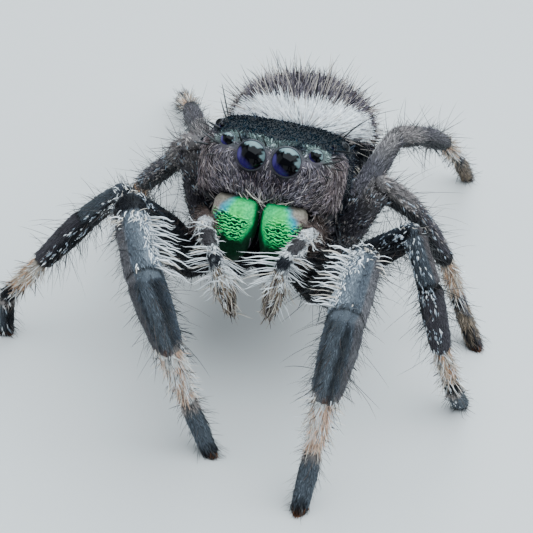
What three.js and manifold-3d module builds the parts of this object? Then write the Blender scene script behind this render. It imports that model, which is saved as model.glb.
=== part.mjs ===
// A male jumping spider at life size, standing with its head raised and its front legs forward.
// Millimetres and degrees, +Z up. The spider faces -Y, and its left side is +X.
import * as THREE from 'three';
import { mergeVertices } from 'three/addons/utils/BufferGeometryUtils.js';
import Module from 'manifold-3d';

const wasm = await Module();
wasm.setup();

// ---------------------------------------------------------------- driving dimensions

const HEAD_HEIGHT = 4.75; // middle of the carapace above the floor
const HEAD_PITCH = 16; // nose up
const COXA_START = 1.12; // inner end of a leg's root, from the middle of the breastplate
const COXA_DROP = 2.15; // inner ends of the legs' roots below the middle of the carapace
const CLEARANCE = 0.02; // gap left between neighbouring pieces
const WELD = 1e-4; // corners closer than this are one corner
const SOLE_RISE = 0.12; // centre of a foot's round tip above the floor

// The carapace, as [place along it, half width, upper height, lower height].
const CARAPACE = {
  front: -2.65,
  centre: -0.2,
  rear: 2.85,
  blunt: 6,
  taper: 2.4,
  square: 4,
  stations: [
    [-2.65, 1.66, 0.98, -0.52],
    [-1.9, 1.84, 1.08, -0.95],
    [-0.9, 1.91, 1.16, -1.4],
    [0.3, 1.93, 1.08, -1.55],
    [1.4, 1.85, 0.45, -1.55],
    [2.4, 1.45, -0.35, -1.45],
    [2.85, 1.1, -0.8, -1.35],
  ],
};

// The abdomen hangs behind the waist, sloping down to the spinnerets.
const ABDOMEN = {
  front: -3.15,
  centre: 0,
  rear: 3.15,
  blunt: 2.7,
  taper: 2.1,
  square: 2.1,
  place: [-0.18, 5.35, 2.9],
  droop: 24,
  yaw: 7,
  stations: [
    [-3.15, 1.75, 1.3, -1.1],
    [-1.5, 2.15, 1.75, -1.6],
    [0, 2.25, 1.8, -1.8],
    [1.6, 1.85, 1.45, -1.45],
    [3.15, 0.9, 0.75, -0.75],
  ],
};

const STERNUM = {
  front: -1.75,
  centre: 0,
  rear: 1.7,
  blunt: 2,
  taper: 2,
  square: 2.4,
  stations: [
    [-1.75, 0.5, -1.6, -2.35],
    [0, 0.78, -1.45, -2.5],
    [1.7, 0.55, -1.55, -2.35],
  ],
};

// Eyes on the carapace: [across, along, up], and the lens radius.
const EYES = {
  front_middle: { at: [0.43, -2.5, 0.62], radius: 0.37, detail: 2 },
  front_side: { at: [1.08, -2.36, 0.84], radius: 0.19, detail: 1 },
  small: { at: [1.42, -1.6, 1.0], radius: 0.08, detail: 0 },
  rear: { at: [1.58, -0.72, 0.83], radius: 0.16, detail: 1 },
};

const CHELICERA = {
  length: 1.75, // from under the face down to the fang
  top: -0.42,
  across: 0.63,
  along: -2.38,
  splay: 3, // the pair spreads downwards
  lean: 4, // and leans forward
  halfWidth: [0.6, 0.61, 0.46],
  halfDepth: [0.42, 0.52, 0.4],
};

const MAXILLA = { at: [0.36, -1.95, -2.25], radii: [0.3, 0.42, 0.42] };
const WAIST = { from: 2.3, to: 3.4, height: -1.15, radius: 0.32 };

// Joints of the palps, from the jaw to the tip, and the thickness at each.
const PALPS = {
  left: [
    [0.85, -2.5, 3.5],
    [1.45, -2.7, 4.55],
    [1.3, -3.7, 4.9],
    [1.0, -4.3, 4.66],
    [0.9, -4.47, 4.4],
    [0.78, -4.3, 3.15],
  ],
  right: [
    [-0.8, -2.5, 3.5],
    [-1.3, -2.75, 4.35],
    [-1.1, -3.7, 4.62],
    [-0.75, -4.3, 4.43],
    [-0.6, -4.47, 4.2],
    [-0.2, -4.3, 3.0],
  ],
};
const PALP_RADII = [
  { root: 0.3, belly: 0.36, tip: 0.34 },
  { root: 0.34, belly: 0.34, tip: 0.27 },
  { root: 0.27, belly: 0.28, tip: 0.25 },
  { root: 0.25, belly: 0.27, tip: 0.25 },
  { root: 0.25, belly: 0.37, tip: 0.25 },
];

// A leg segment's length, its radius at the root, belly and tip, and how deep its section is.
const SEGMENTS = ['femur', 'patella', 'tibia', 'metatarsus', 'tarsus'];
const LEGS = {
  1: {
    hip: [1.6, -1.76, -2.63],
    femur: { length: 4.48, root: 0.36, belly: 0.45, tip: 0.37, depth: 1.15 },
    patella: { length: 1.9, root: 0.41, belly: 0.45, tip: 0.46, depth: 1 },
    tibia: { length: 2.15, root: 0.45, belly: 0.45, tip: 0.38, depth: 1 },
    metatarsus: { length: 2.0, root: 0.33, belly: 0.31, tip: 0.26, depth: 1, sides: 7 },
    tarsus: { length: 1.35, root: 0.25, belly: 0.27, tip: 0.25, depth: 1, sides: 7 },
  },
  2: {
    hip: [1.8, -0.61, -2.63],
    femur: { length: 3.5, root: 0.32, belly: 0.42, tip: 0.31, depth: 1.12 },
    patella: { length: 1.3, root: 0.26, belly: 0.29, tip: 0.32, depth: 1 },
    tibia: { length: 1.8, root: 0.33, belly: 0.34, tip: 0.29, depth: 1 },
    metatarsus: { length: 1.5, root: 0.26, belly: 0.26, tip: 0.25, depth: 1, sides: 7 },
    tarsus: { length: 1.05, root: 0.25, belly: 0.25, tip: 0.25, depth: 1, sides: 7 },
  },
  3: {
    hip: [1.8, 0.4, -2.15],
    femur: { length: 2.85, root: 0.3, belly: 0.38, tip: 0.3, depth: 1.1 },
    patella: { length: 1.55, root: 0.3, belly: 0.34, tip: 0.29, depth: 1, sides: 7 },
    tibia: { length: 1.9, root: 0.29, belly: 0.31, tip: 0.26, depth: 1, sides: 7 },
    metatarsus: { length: 1.85, root: 0.26, belly: 0.25, tip: 0.25, depth: 1, sides: 7 },
    tarsus: { length: 1.2, root: 0.25, belly: 0.25, tip: 0.25, depth: 1, sides: 7 },
  },
  4: {
    hip: [1.6, 1.5, -2.15],
    femur: { length: 3.7, root: 0.32, belly: 0.39, tip: 0.3, depth: 1.12 },
    patella: { length: 1.7, root: 0.3, belly: 0.34, tip: 0.29, depth: 1, sides: 7 },
    tibia: { length: 2.5, root: 0.29, belly: 0.32, tip: 0.26, depth: 1, sides: 7 },
    metatarsus: { length: 2.3, root: 0.26, belly: 0.25, tip: 0.25, depth: 1, sides: 7 },
    tarsus: { length: 1.2, root: 0.25, belly: 0.25, tip: 0.25, depth: 1, sides: 7 },
  },
};

// The stance. A heading is 0 straight ahead and 90 out to the leg's own side, and a slope is
// positive upwards. A tarsus has no slope of its own, because it reaches down to the floor.
const STANCE = {
  right: {
    1: { heading: [17, -28, -129, -139, -69], slope: [45, -23, -70, -69] },
    2: { heading: [39.5, 105, 79, 82, 29], slope: [44, -50, -53, -54] },
    3: { heading: [33, 144, 135, 150, 144], slope: [73, -49, -45, -59] },
    4: { heading: [159, 161, 162, 163, 162], slope: [5, -14, -15, -19] },
  },
  left: {
    1: { heading: [22, -2, -140, -167, -3], slope: [43, -13, -84, -78] },
    2: { heading: [56.5, 45.5, 85, 125, 151], slope: [48, -49, -70, -66] },
    3: { heading: [54, 128, 114, 135, 53], slope: [66, -40, -54, -62] },
    4: { heading: [161, 153, 163, 163, 148], slope: [30, -18, -28, -37] },
  },
};

const FINISHES = {
  carapace: { color: 0x2b2826, roughness: 0.65, metalness: 0 },
  abdomen: { color: 0x35302d, roughness: 0.9, metalness: 0 },
  leg: { color: 0x3a3735, roughness: 0.8, metalness: 0 },
  pale_leg: { color: 0xb9a48a, roughness: 0.85, metalness: 0 },
  palp: { color: 0x8d8578, roughness: 0.85, metalness: 0 },
  chelicera: { color: 0x1f9a3c, roughness: 0.25, metalness: 0.6 },
  eye: { color: 0x0b0a12, roughness: 0.05, metalness: 0 },
};

// ---------------------------------------------------------------- solids

const UP = new THREE.Vector3(0, 0, 1);
const radians = THREE.MathUtils.degToRad;
const vector = (at) => new THREE.Vector3(...at);
const mirrored = (at, side) => new THREE.Vector3(side * at[0], at[1], at[2]);

/** The solid of a closed geometry, moved by a matrix. */
function toSolid(geometry, matrix) {
  const shell = geometry.clone().applyMatrix4(matrix);
  for (const name of ['normal', 'uv']) shell.deleteAttribute(name);
  const welded = mergeVertices(shell, WELD);
  const corners = welded.index.array;
  const triVerts = [];
  for (let i = 0; i < corners.length; i += 3) {
    const [a, b, c] = corners.slice(i, i + 3);
    if (a !== b && b !== c && c !== a) triVerts.push(a, b, c);
  }
  const vertProperties = welded.attributes.position.array;
  const mesh = new wasm.Mesh({ numProp: 3, vertProperties, triVerts: new Uint32Array(triVerts) });
  return new wasm.Manifold(mesh);
}

/** The geometry of a solid, in the frame that a matrix undoes. */
function toGeometry(solid, inverse) {
  const mesh = solid.getMesh();
  const geometry = new THREE.BufferGeometry();
  geometry.setAttribute('position', new THREE.BufferAttribute(mesh.vertProperties, 3));
  geometry.setIndex(new THREE.BufferAttribute(mesh.triVerts, 1));
  geometry.applyMatrix4(inverse);
  geometry.computeVertexNormals();
  return geometry;
}

/** Everything beyond a plane, as a box for cutting. */
function beyond(point, normal) {
  const size = 40;
  const box = new THREE.BoxGeometry(size, size, size).translate(0, 0, size / 2);
  const turn = new THREE.Quaternion().setFromUnitVectors(UP, normal);
  return toSolid(box, new THREE.Matrix4().compose(point, turn, new THREE.Vector3(1, 1, 1)));
}

/**
 * A rounded body along Y, from a sphere. Its stations give half width, upper and lower height
 * along it, blunt and taper square its two ends, and square squares its sections.
 */
function loft({ front, centre, rear, blunt, taper, square, stations, sides, rings }, grow) {
  const places = stations.map((station) => station[0]);
  const spline = new THREE.CubicInterpolant(places, stations.flatMap((station) => station.slice(1)), 3);
  const geometry = new THREE.SphereGeometry(1, sides, rings);
  const position = geometry.attributes.position;
  const corner = new THREE.Vector3();
  const power = (value, exponent) => Math.sign(value) * Math.abs(value) ** exponent;
  for (let i = 0; i < position.count; i += 1) {
    corner.fromBufferAttribute(position, i);
    const rounding = 2 / (corner.y < 0 ? blunt : taper);
    const reach = corner.y < 0 ? centre - front + grow : rear - centre + grow;
    const along = centre + reach * power(corner.y, rounding);
    const ring = Math.hypot(corner.x, corner.z);
    const [halfWidth, top, base] = spline.evaluate(THREE.MathUtils.clamp(along, front, rear));
    const scale = ring ** rounding;
    const across = ring > WELD ? power(corner.x / ring, 2 / square) : 0;
    const upward = ring > WELD ? power(corner.z / ring, 2 / square) : 0;
    const middle = (top + base) / 2;
    position.setXYZ(
      i,
      (halfWidth + grow) * scale * across,
      along,
      middle + ((top - base) / 2 + grow) * scale * upward,
    );
  }
  return geometry;
}

/** A limb segment with round ends, turned about Y from one joint to the next. */
function limb({ length, root, belly, tip, depth = 1, sides = 8 }, grow) {
  const cap = 0.75;
  const shoulder = 0.72;
  const [a, b, c] = [root + grow, belly + grow, tip + grow];
  const outline = [
    [0, -a],
    [a * shoulder, -a * cap],
    [a, 0],
    [b, length * 0.38],
    [c, length],
    [c * shoulder, length + c * cap],
    [0, length + c],
  ].map(([radius, along]) => new THREE.Vector2(radius, along));
  return new THREE.LatheGeometry(outline, sides).scale(1, 1, depth);
}

/** A frame whose Y runs from one joint to the next, with its X level. */
function jointFrame(from, direction) {
  const side = new THREE.Vector3().crossVectors(direction, UP).normalize();
  const rise = new THREE.Vector3().crossVectors(side, direction);
  const frame = new THREE.Group();
  frame.quaternion.setFromRotationMatrix(new THREE.Matrix4().makeBasis(side, direction, rise));
  frame.position.copy(from);
  frame.updateMatrixWorld();
  return frame;
}

// ---------------------------------------------------------------- assembly

const model = new THREE.Group();
const cutters = new Map();

/** A named piece in a frame, kept clear of pieces made before it and cut by other solids. */
function addPiece(name, frame, finish, shape, { clearOf = [], cuts = [], joined = null } = {}) {
  let solid = toSolid(shape(0), frame.matrixWorld);
  let cutter = toSolid(shape(CLEARANCE), frame.matrixWorld);
  if (joined) {
    solid = solid.add(joined);
    cutter = cutter.add(joined);
  }
  for (const cut of cuts) {
    solid = solid.subtract(cut);
    cutter = cutter.subtract(cut);
  }
  for (const other of clearOf) solid = solid.subtract(cutters.get(other));
  cutters.set(name, cutter);
  const geometry = toGeometry(solid, frame.matrixWorld.clone().invert());
  const mesh = new THREE.Mesh(geometry, new THREE.MeshStandardMaterial(FINISHES[finish]));
  mesh.name = name;
  frame.add(mesh);
}

/** The head and chest, with the eyes and jaws. */
function buildProsoma() {
  const prosoma = new THREE.Group();
  prosoma.position.set(0, 0, HEAD_HEIGHT);
  prosoma.rotation.x = -radians(HEAD_PITCH);
  model.add(prosoma);
  prosoma.updateMatrixWorld();

  const front = [];
  for (const [side, sign] of [['left', 1], ['right', -1]]) {
    for (const [place, eye] of Object.entries(EYES)) {
      const at = mirrored(eye.at, sign);
      const lens = (grow) => new THREE.IcosahedronGeometry(eye.radius + grow, eye.detail).translate(...at);
      addPiece(`eye_${place}_${side}`, prosoma, 'eye', lens);
      front.push(`eye_${place}_${side}`);
    }
    addPiece(`chelicera_${side}`, prosoma, 'chelicera', (grow) => cheliceraShape(sign, grow));
    front.push(`chelicera_${side}`);
  }
  addPiece('carapace', prosoma, 'carapace', (grow) => loft({ ...CARAPACE, sides: 20, rings: 12 }, grow), {
    clearOf: front,
  });
  addPiece('sternum', prosoma, 'carapace', (grow) => loft({ ...STERNUM, sides: 10, rings: 6 }, grow), {
    clearOf: ['carapace', 'chelicera_left', 'chelicera_right'],
  });
  for (const [side, sign] of [['left', 1], ['right', -1]]) {
    const at = mirrored(MAXILLA.at, sign);
    const shape = (grow) => {
      const radii = MAXILLA.radii.map((radius) => radius + grow);
      return new THREE.SphereGeometry(1, 8, 6).scale(...radii).translate(...at);
    };
    const others = sign > 0 ? [] : ['maxilla_left'];
    addPiece(`maxilla_${side}`, prosoma, 'carapace', shape, {
      clearOf: ['sternum', 'carapace', 'chelicera_left', 'chelicera_right', ...others],
    });
  }
  return prosoma;
}

/** One jaw, hung from under the face: a rounded block that narrows downwards. */
function cheliceraShape(sign, grow) {
  const { length, top, across, along, splay, lean, halfWidth, halfDepth } = CHELICERA;
  const middle = length / 2;
  const stations = [-middle, 0, middle].map((place, i) => [place, halfWidth[i], halfDepth[i], -halfDepth[i]]);
  const block = { front: -middle, centre: 0, rear: middle, blunt: 5, taper: 3, square: 2.6, stations };
  return loft({ ...block, sides: 12, rings: 6 }, grow)
    .rotateX(-Math.PI / 2)
    .rotateX(radians(lean))
    .rotateY(-sign * radians(splay))
    .translate(sign * across, along, top - middle);
}

/** The abdomen, with its spinnerets and the waist that carries it. */
function buildAbdomen(prosoma) {
  const frame = new THREE.Group();
  frame.rotation.order = 'ZXY';
  frame.rotation.z = radians(ABDOMEN.yaw);
  frame.rotation.x = -radians(ABDOMEN.droop);
  frame.position.set(...ABDOMEN.place);
  model.add(frame);
  frame.updateMatrixWorld();
  const body = { ...ABDOMEN, sides: 20, rings: 12 };
  addPiece('abdomen', frame, 'abdomen', (grow) => loft(body, grow), { clearOf: ['carapace'] });

  const cones = [];
  for (const [across, up, reach, radius] of [[0.24, -0.1, 0.5, 0.22]]) {
    for (const sign of [1, -1]) {
      const cone = limb({ length: reach, root: radius, belly: radius, tip: radius * 0.8, sides: 5 }, 0);
      cone.rotateX(-radians(12)).translate(sign * across, ABDOMEN.rear - 0.3, up - 0.1);
      cones.push(toSolid(cone, frame.matrixWorld));
    }
  }
  const hub = (grow) => new THREE.SphereGeometry(0.38 + grow, 7, 4).translate(0, ABDOMEN.rear - 0.3, -0.15);
  addPiece('spinnerets', frame, 'abdomen', hub, { clearOf: ['abdomen'], joined: wasm.Manifold.union(cones) });

  const { from, to, height, radius } = WAIST;
  const rod = { length: to - from, root: radius, belly: radius, tip: radius, sides: 6 };
  const waist = (grow) => limb(rod, grow).translate(0, from, height);
  addPiece('pedicel', prosoma, 'carapace', waist, { clearOf: ['carapace', 'abdomen', 'sternum'] });
}

/** Unit direction from a heading and a slope, on one side of the body. */
function direction(heading, slope, sign) {
  const level = Math.cos(radians(slope));
  const [ahead, out] = [Math.cos(radians(heading)), Math.sin(radians(heading))];
  return new THREE.Vector3(sign * out * level, -ahead * level, Math.sin(radians(slope)));
}

/** The plane halfway round a joint, as the boxes that trim the piece before and after it. */
function mitre(joint, before, after) {
  const normal = before.clone().add(after).normalize();
  const gap = normal.clone().multiplyScalar(CLEARANCE / 2);
  const ahead = beyond(joint.clone().sub(gap), normal);
  const behind = beyond(joint.clone().add(gap), normal.clone().negate());
  return { ahead, behind };
}

/** One leg of five segments, mitred at its joints, standing on a small flat sole. */
function buildLeg(prosoma, side, number, clearOf) {
  const sign = side === 'left' ? 1 : -1;
  const leg = LEGS[number];
  const stance = STANCE[side][number];
  const hip = mirrored(leg.hip, sign).applyMatrix4(prosoma.matrixWorld);

  const joints = [hip];
  const directions = [];
  SEGMENTS.forEach((segment, i) => {
    const { length } = leg[segment];
    const fall = joints[i].z - SOLE_RISE;
    const slope = i < 4 ? stance.slope[i] : -THREE.MathUtils.radToDeg(Math.asin(Math.min(1, fall / length)));
    directions.push(direction(stance.heading[i], slope, sign));
    joints.push(joints[i].clone().addScaledVector(directions[i], length));
  });
  const joins = SEGMENTS.slice(1).map((_, i) => mitre(joints[i + 1], directions[i], directions[i + 1]));
  const floor = beyond(new THREE.Vector3(0, 0, 0), new THREE.Vector3(0, 0, -1));

  SEGMENTS.forEach((segment, i) => {
    const frame = jointFrame(joints[i], directions[i]);
    model.add(frame);
    const cuts = [];
    if (i > 0) cuts.push(joins[i - 1].behind);
    if (i < 4) cuts.push(joins[i].ahead);
    if (i === 4) cuts.push(floor);
    const finish = segment === 'metatarsus' ? 'pale_leg' : 'leg';
    const options = { cuts, clearOf: i < 2 ? clearOf : [] };
    if (i === 0) options.joined = coxa(prosoma, hip, sign, leg.hip[1], leg.femur.root);
    addPiece(`leg_${number}_${side}_${segment}`, frame, finish, (grow) => limb(leg[segment], grow), options);
  });
}

/** The short thick root of a leg, from the sternum out to the hip. */
function coxa(prosoma, hip, sign, along, radius) {
  const inner = new THREE.Vector3(sign * COXA_START, along * 0.88, -COXA_DROP).applyMatrix4(prosoma.matrixWorld);
  const reach = new THREE.Vector3().subVectors(hip, inner);
  const frame = jointFrame(inner, reach.clone().normalize());
  const block = { length: reach.length(), root: radius * 1.25, belly: radius * 1.4, tip: radius * 1.15, sides: 5 };
  return toSolid(limb(block, 0), frame.matrixWorld);
}

/** One palp, bent down in front of the jaws. */
function buildPalp(side) {
  const joints = PALPS[side].map(vector);
  const [first, ...rest] = PALP_RADII.map((radii, i) => {
    const run = new THREE.Vector3().subVectors(joints[i + 1], joints[i]);
    const length = run.length();
    return { frame: jointFrame(joints[i], run.normalize()), length, sides: 6, ...radii };
  });
  const joined = wasm.Manifold.union(rest.map((part) => toSolid(limb(part, 0), part.frame.matrixWorld)));
  model.add(first.frame);
  addPiece(`palp_${side}`, first.frame, 'palp', (grow) => limb(first, grow), {
    joined,
    clearOf: ['chelicera_left', 'chelicera_right', `maxilla_${side}`, 'carapace', 'sternum'],
  });
}

const prosoma = buildProsoma();
buildAbdomen(prosoma);
for (const side of ['left', 'right']) {
  buildPalp(side);
  const trunk = ['carapace', 'sternum', `maxilla_${side}`, `palp_${side}`, `chelicera_${side}`];
  for (const number of [1, 2, 3, 4]) {
    const before = number > 1 ? [`leg_${number - 1}_${side}_femur`] : [];
    buildLeg(prosoma, side, number, [...trunk, 'abdomen', 'pedicel', ...before]);
  }
}

// The origin is on the floor, under the middle of the whole figure.
const bounds = new THREE.Box3().setFromObject(model, true);
const middle = bounds.getCenter(new THREE.Vector3());
model.position.set(-middle.x, -middle.y, -bounds.min.z);
model.updateMatrixWorld();

export default model;
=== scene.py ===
"""A male jumping spider at life size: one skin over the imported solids, and its coat of hairs and scales.

Lengths are in millimetres until a piece is finished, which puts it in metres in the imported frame.
The spider faces -Y, its left side is +X, and +Z is up.
"""

import sys

import logging
import math
from dataclasses import dataclass, field, replace
from enum import Enum, IntEnum
from typing import Callable, Iterable

import bmesh
import bpy
import numpy as np
from mathutils import Matrix, Vector
from mathutils.bvhtree import BVHTree
from mathutils.kdtree import KDTree


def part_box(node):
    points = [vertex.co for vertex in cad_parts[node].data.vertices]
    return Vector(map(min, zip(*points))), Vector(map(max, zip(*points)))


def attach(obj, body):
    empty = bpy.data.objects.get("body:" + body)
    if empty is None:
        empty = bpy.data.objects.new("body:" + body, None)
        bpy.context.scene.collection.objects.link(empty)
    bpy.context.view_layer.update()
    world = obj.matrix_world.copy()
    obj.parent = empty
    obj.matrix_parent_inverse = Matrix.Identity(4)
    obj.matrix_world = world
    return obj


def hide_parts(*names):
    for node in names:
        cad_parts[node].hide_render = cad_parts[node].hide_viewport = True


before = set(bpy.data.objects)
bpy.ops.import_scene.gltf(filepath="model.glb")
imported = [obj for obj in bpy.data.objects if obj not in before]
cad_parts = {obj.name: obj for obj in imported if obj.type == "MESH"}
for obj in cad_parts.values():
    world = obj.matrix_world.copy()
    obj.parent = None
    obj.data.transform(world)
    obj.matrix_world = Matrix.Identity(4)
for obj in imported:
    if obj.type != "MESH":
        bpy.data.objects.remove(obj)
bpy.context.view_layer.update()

LOG = logging.getLogger("jumping_spider")
MM = 0.001
SEED = 2024
BODY = "root"
TINT = "tint"
BAKE_MAP = "OFBake"
PATCH = 0.003
MOST_TRIANGLES = 199_000
FLOOR_GAP = 0.003
JOINT_REACH = 0.16
ROOT_DEPTH = 0.004
SIDES = {"left": 1, "right": -1}
LEG_NUMBERS = (1, 2, 3, 4)
KNEE_START = {"left": 0.0, "right": 0.18}
SEGMENTS = ("femur", "patella", "tibia", "metatarsus", "tarsus")
EYES = tuple(f"{place}_{side}" for place in ("front_middle", "front_side", "small", "rear") for side in SIDES)


# ---------------------------------------------------------------- small tools


def unit(vectors: np.ndarray) -> np.ndarray:
    """Vectors of length one, along the last axis."""
    return vectors / np.maximum(np.linalg.norm(vectors, axis=-1, keepdims=True), 1e-9)


def ease(values: np.ndarray, start: float, end: float) -> np.ndarray:
    """A smooth step from 0 at start to 1 at end, which may run downwards."""
    t = np.clip((values - start) / (end - start), 0, 1)
    return t * t * (3 - 2 * t)


def linear(code: str) -> np.ndarray:
    """The linear colour of a six-figure colour code."""
    steps = np.array([int(code[i : i + 2], 16) for i in (0, 2, 4)]) / 255
    return np.where(steps <= 0.04045, steps / 12.92, ((steps + 0.055) / 1.055) ** 2.4)


def mixed(base: np.ndarray, other: np.ndarray, share: np.ndarray) -> np.ndarray:
    """One colour blended into another by a share for each row."""
    return base + (other - base) * np.clip(share, 0, 1)[..., None]


def ripple(points: np.ndarray, scale: float, seed: int = 0) -> np.ndarray:
    """A smooth wandering value from about -1 to 1, made of a few crossed waves.

    Args:
        points: Places, as rows.
        scale: The wavelength.
        seed: Another seed gives another pattern.

    Returns:
        One value for each row.
    """
    rng = np.random.default_rng(seed)
    total = np.zeros(len(points))
    for _ in range(6):
        wave = unit(rng.normal(size=3)) * 2 * math.pi / (scale * rng.uniform(0.6, 1.5))
        total += np.sin(points @ wave + rng.uniform(0, 2 * math.pi))
    return total / 2.6


def peak(values: np.ndarray, middle: float, spread: float) -> np.ndarray:
    """A smooth hill of height 1 at the middle."""
    return np.exp(-((values - middle) ** 2) / spread)


def node_points(name: str) -> np.ndarray:
    """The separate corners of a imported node, in millimetres."""
    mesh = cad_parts[name].data
    corners = np.empty(len(mesh.vertices) * 3)
    mesh.vertices.foreach_get("co", corners)
    return np.unique(np.round(corners.reshape(-1, 3) / MM, 5), axis=0)


def box_centre(name: str) -> np.ndarray:
    """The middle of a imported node's box, in millimetres."""
    low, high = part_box(name)
    return np.array((low + high) / 2) / MM


def box_radius(name: str) -> float:
    """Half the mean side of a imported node's box, in millimetres."""
    low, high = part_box(name)
    return float(np.mean(np.array(high - low))) / 2 / MM


# ---------------------------------------------------------------- colours and finishes


class Tone(Enum):
    """The colours of the spider's skin, scales and hairs."""

    INK = "08090d"
    SOOT = "13151b"
    COAL = "1f2229"
    SLATE = "49515c"
    GREY = "6a727b"
    UMBER = "443833"
    TAUPE = "72615c"
    ASH = "746d75"
    STONE = "aaa09b"
    MOSS = "0b1c25"
    LICHEN = "879893"
    PLUM = "261e2a"
    STEEL = "a9b4c0"
    SNOW = "f3f6f9"
    CREAM = "ddd3c6"
    BLUSH = "d99a66"
    TAN = "958472"
    RUST = "7f5233"
    EMERALD = "00eb89"
    # The painted highlight of the jaws.
    LIME = "51eb51"
    TEAL = "2aa0d8"
    # The painted shade of the jaws.
    DEEP_GREEN = "033d1a"
    SHELL = "a39089"
    HORN = "1c1210"
    RIM = "2f2d35"
    PUPIL = "030306"
    VIOLET = "2a1c5c"
    LILAC = "5a4e92"
    # Painted reflection on the front lenses.
    SKY = "86a0a2"

    @property
    def rgb(self) -> np.ndarray:
        """The tone as a linear colour."""
        return linear(self.value)


def painted(count: int, ground: Tone, *layers: tuple[Tone, np.ndarray]) -> np.ndarray:
    """A ground tone under layers of other tones.

    Args:
        count: How many rows.
        ground: The lowest tone.
        layers: Each tone and its share for each row, from below upwards.

    Returns:
        Linear colours, as rows.
    """
    tone = np.tile(ground.rgb, (count, 1))
    for other, share in layers:
        tone = mixed(tone, other.rgb, share)
    return tone


class Graph:
    """The nodes of one material, made and joined by short calls."""

    def __init__(self, name: str) -> None:
        """Starts a material with one shader.

        Args:
            name: The material's name.
        """
        self.material = bpy.data.materials.new(name)
        self.material.use_nodes = True
        self.tree = self.material.node_tree
        self.shader = self.tree.nodes["Principled BSDF"]
        self.coordinates = self.tree.nodes.new("ShaderNodeTexCoord")

    def node(self, kind: str, **settings: object) -> bpy.types.Node:
        """Adds a node and sets its properties, or its inputs where the value is keyed in inputs.

        Args:
            kind: The node's class.
            settings: Properties by name, and inputs as a dict of value by socket.

        Returns:
            The new node.
        """
        made = self.tree.nodes.new(kind)
        for key, value in settings.pop("inputs", {}).items():
            made.inputs[key].default_value = value
        for key, value in settings.items():
            setattr(made, key, value)
        return made

    def link(self, source: bpy.types.NodeSocket, target: bpy.types.NodeSocket) -> None:
        """Joins an output to an input."""
        self.tree.links.new(source, target)

    def noise(self, feature: float) -> bpy.types.NodeSocket:
        """Noise on Object coordinates, with lumps of a size in millimetres."""
        made = self.node("ShaderNodeTexNoise", inputs={"Scale": 1 / (feature * MM), "Detail": 3.0})
        self.link(self.coordinates.outputs["Object"], made.inputs["Vector"])
        return made.outputs["Fac"]

    def bump(self, height: bpy.types.NodeSocket, depth: float) -> None:
        """Bump on the shader.

        Args:
            height: The height, from 0 to 1.
            depth: What a height of 1 stands for, in millimetres.
        """
        made = self.node("ShaderNodeBump", inputs={"Distance": depth * MM})
        self.link(height, made.inputs["Height"])
        self.link(made.outputs["Normal"], self.shader.inputs["Normal"])

    def varied(self, colour: bpy.types.NodeSocket, by: bpy.types.NodeSocket, low: float, high: float) -> None:
        """Sends a colour to the shader, made darker and lighter by a value.

        Args:
            colour: The colour before.
            by: The value, from 0 to 1.
            low: The brightness at 0.
            high: The brightness at 1.
        """
        span = self.node("ShaderNodeMapRange", inputs={"To Min": low, "To Max": high})
        self.link(by, span.inputs["Value"])
        scaled = self.node("ShaderNodeVectorMath", operation="SCALE")
        self.link(colour, scaled.inputs[0])
        self.link(span.outputs["Result"], scaled.inputs["Scale"])
        self.link(scaled.outputs[0], self.shader.inputs["Base Color"])

    def tint(self, output: str = "Color") -> bpy.types.NodeSocket:
        """The piece's own colour attribute, or its alpha."""
        return self.node("ShaderNodeAttribute", attribute_name=TINT).outputs[output]


@dataclass(frozen=True)
class Finish:
    """A surface whose colour comes from the tint attribute, with grain of its own."""

    name: str
    roughness: float
    grain: float
    depth: float
    gloss: float = 0.5
    dark: float = 0.75
    light: float = 1.2

    def material(self) -> bpy.types.Material:
        """Builds the material."""
        graph = Graph(self.name)
        shader = graph.shader.inputs
        shader["Roughness"].default_value = self.roughness
        shader["Specular IOR Level"].default_value = self.gloss
        noise = graph.noise(self.grain)
        graph.varied(graph.tint(), noise, self.dark, self.light)
        if self.depth:
            graph.bump(noise, self.depth)
        return graph.material


SKIN = Finish("skin_cuticle", roughness=0.5, grain=0.05, depth=0.012, gloss=0.12)
COAT = Finish("coat_hair", roughness=0.5, grain=0.08, depth=0.0, gloss=0.15, dark=0.8, light=1.2)
FUR = Finish("fine_fur", roughness=0.8, grain=0.08, depth=0.0, gloss=0.0, dark=0.75, light=1.25)
BRISTLE = Finish("bristle", roughness=0.35, grain=0.1, depth=0.0, gloss=0.5)
LENS = Finish("eye_lens", roughness=0.03, grain=0.3, depth=0.0, gloss=0.12, dark=0.9, light=1.1)
CLAW = Finish("claw_horn", roughness=0.3, grain=0.04, depth=0.002, gloss=0.6)


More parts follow.
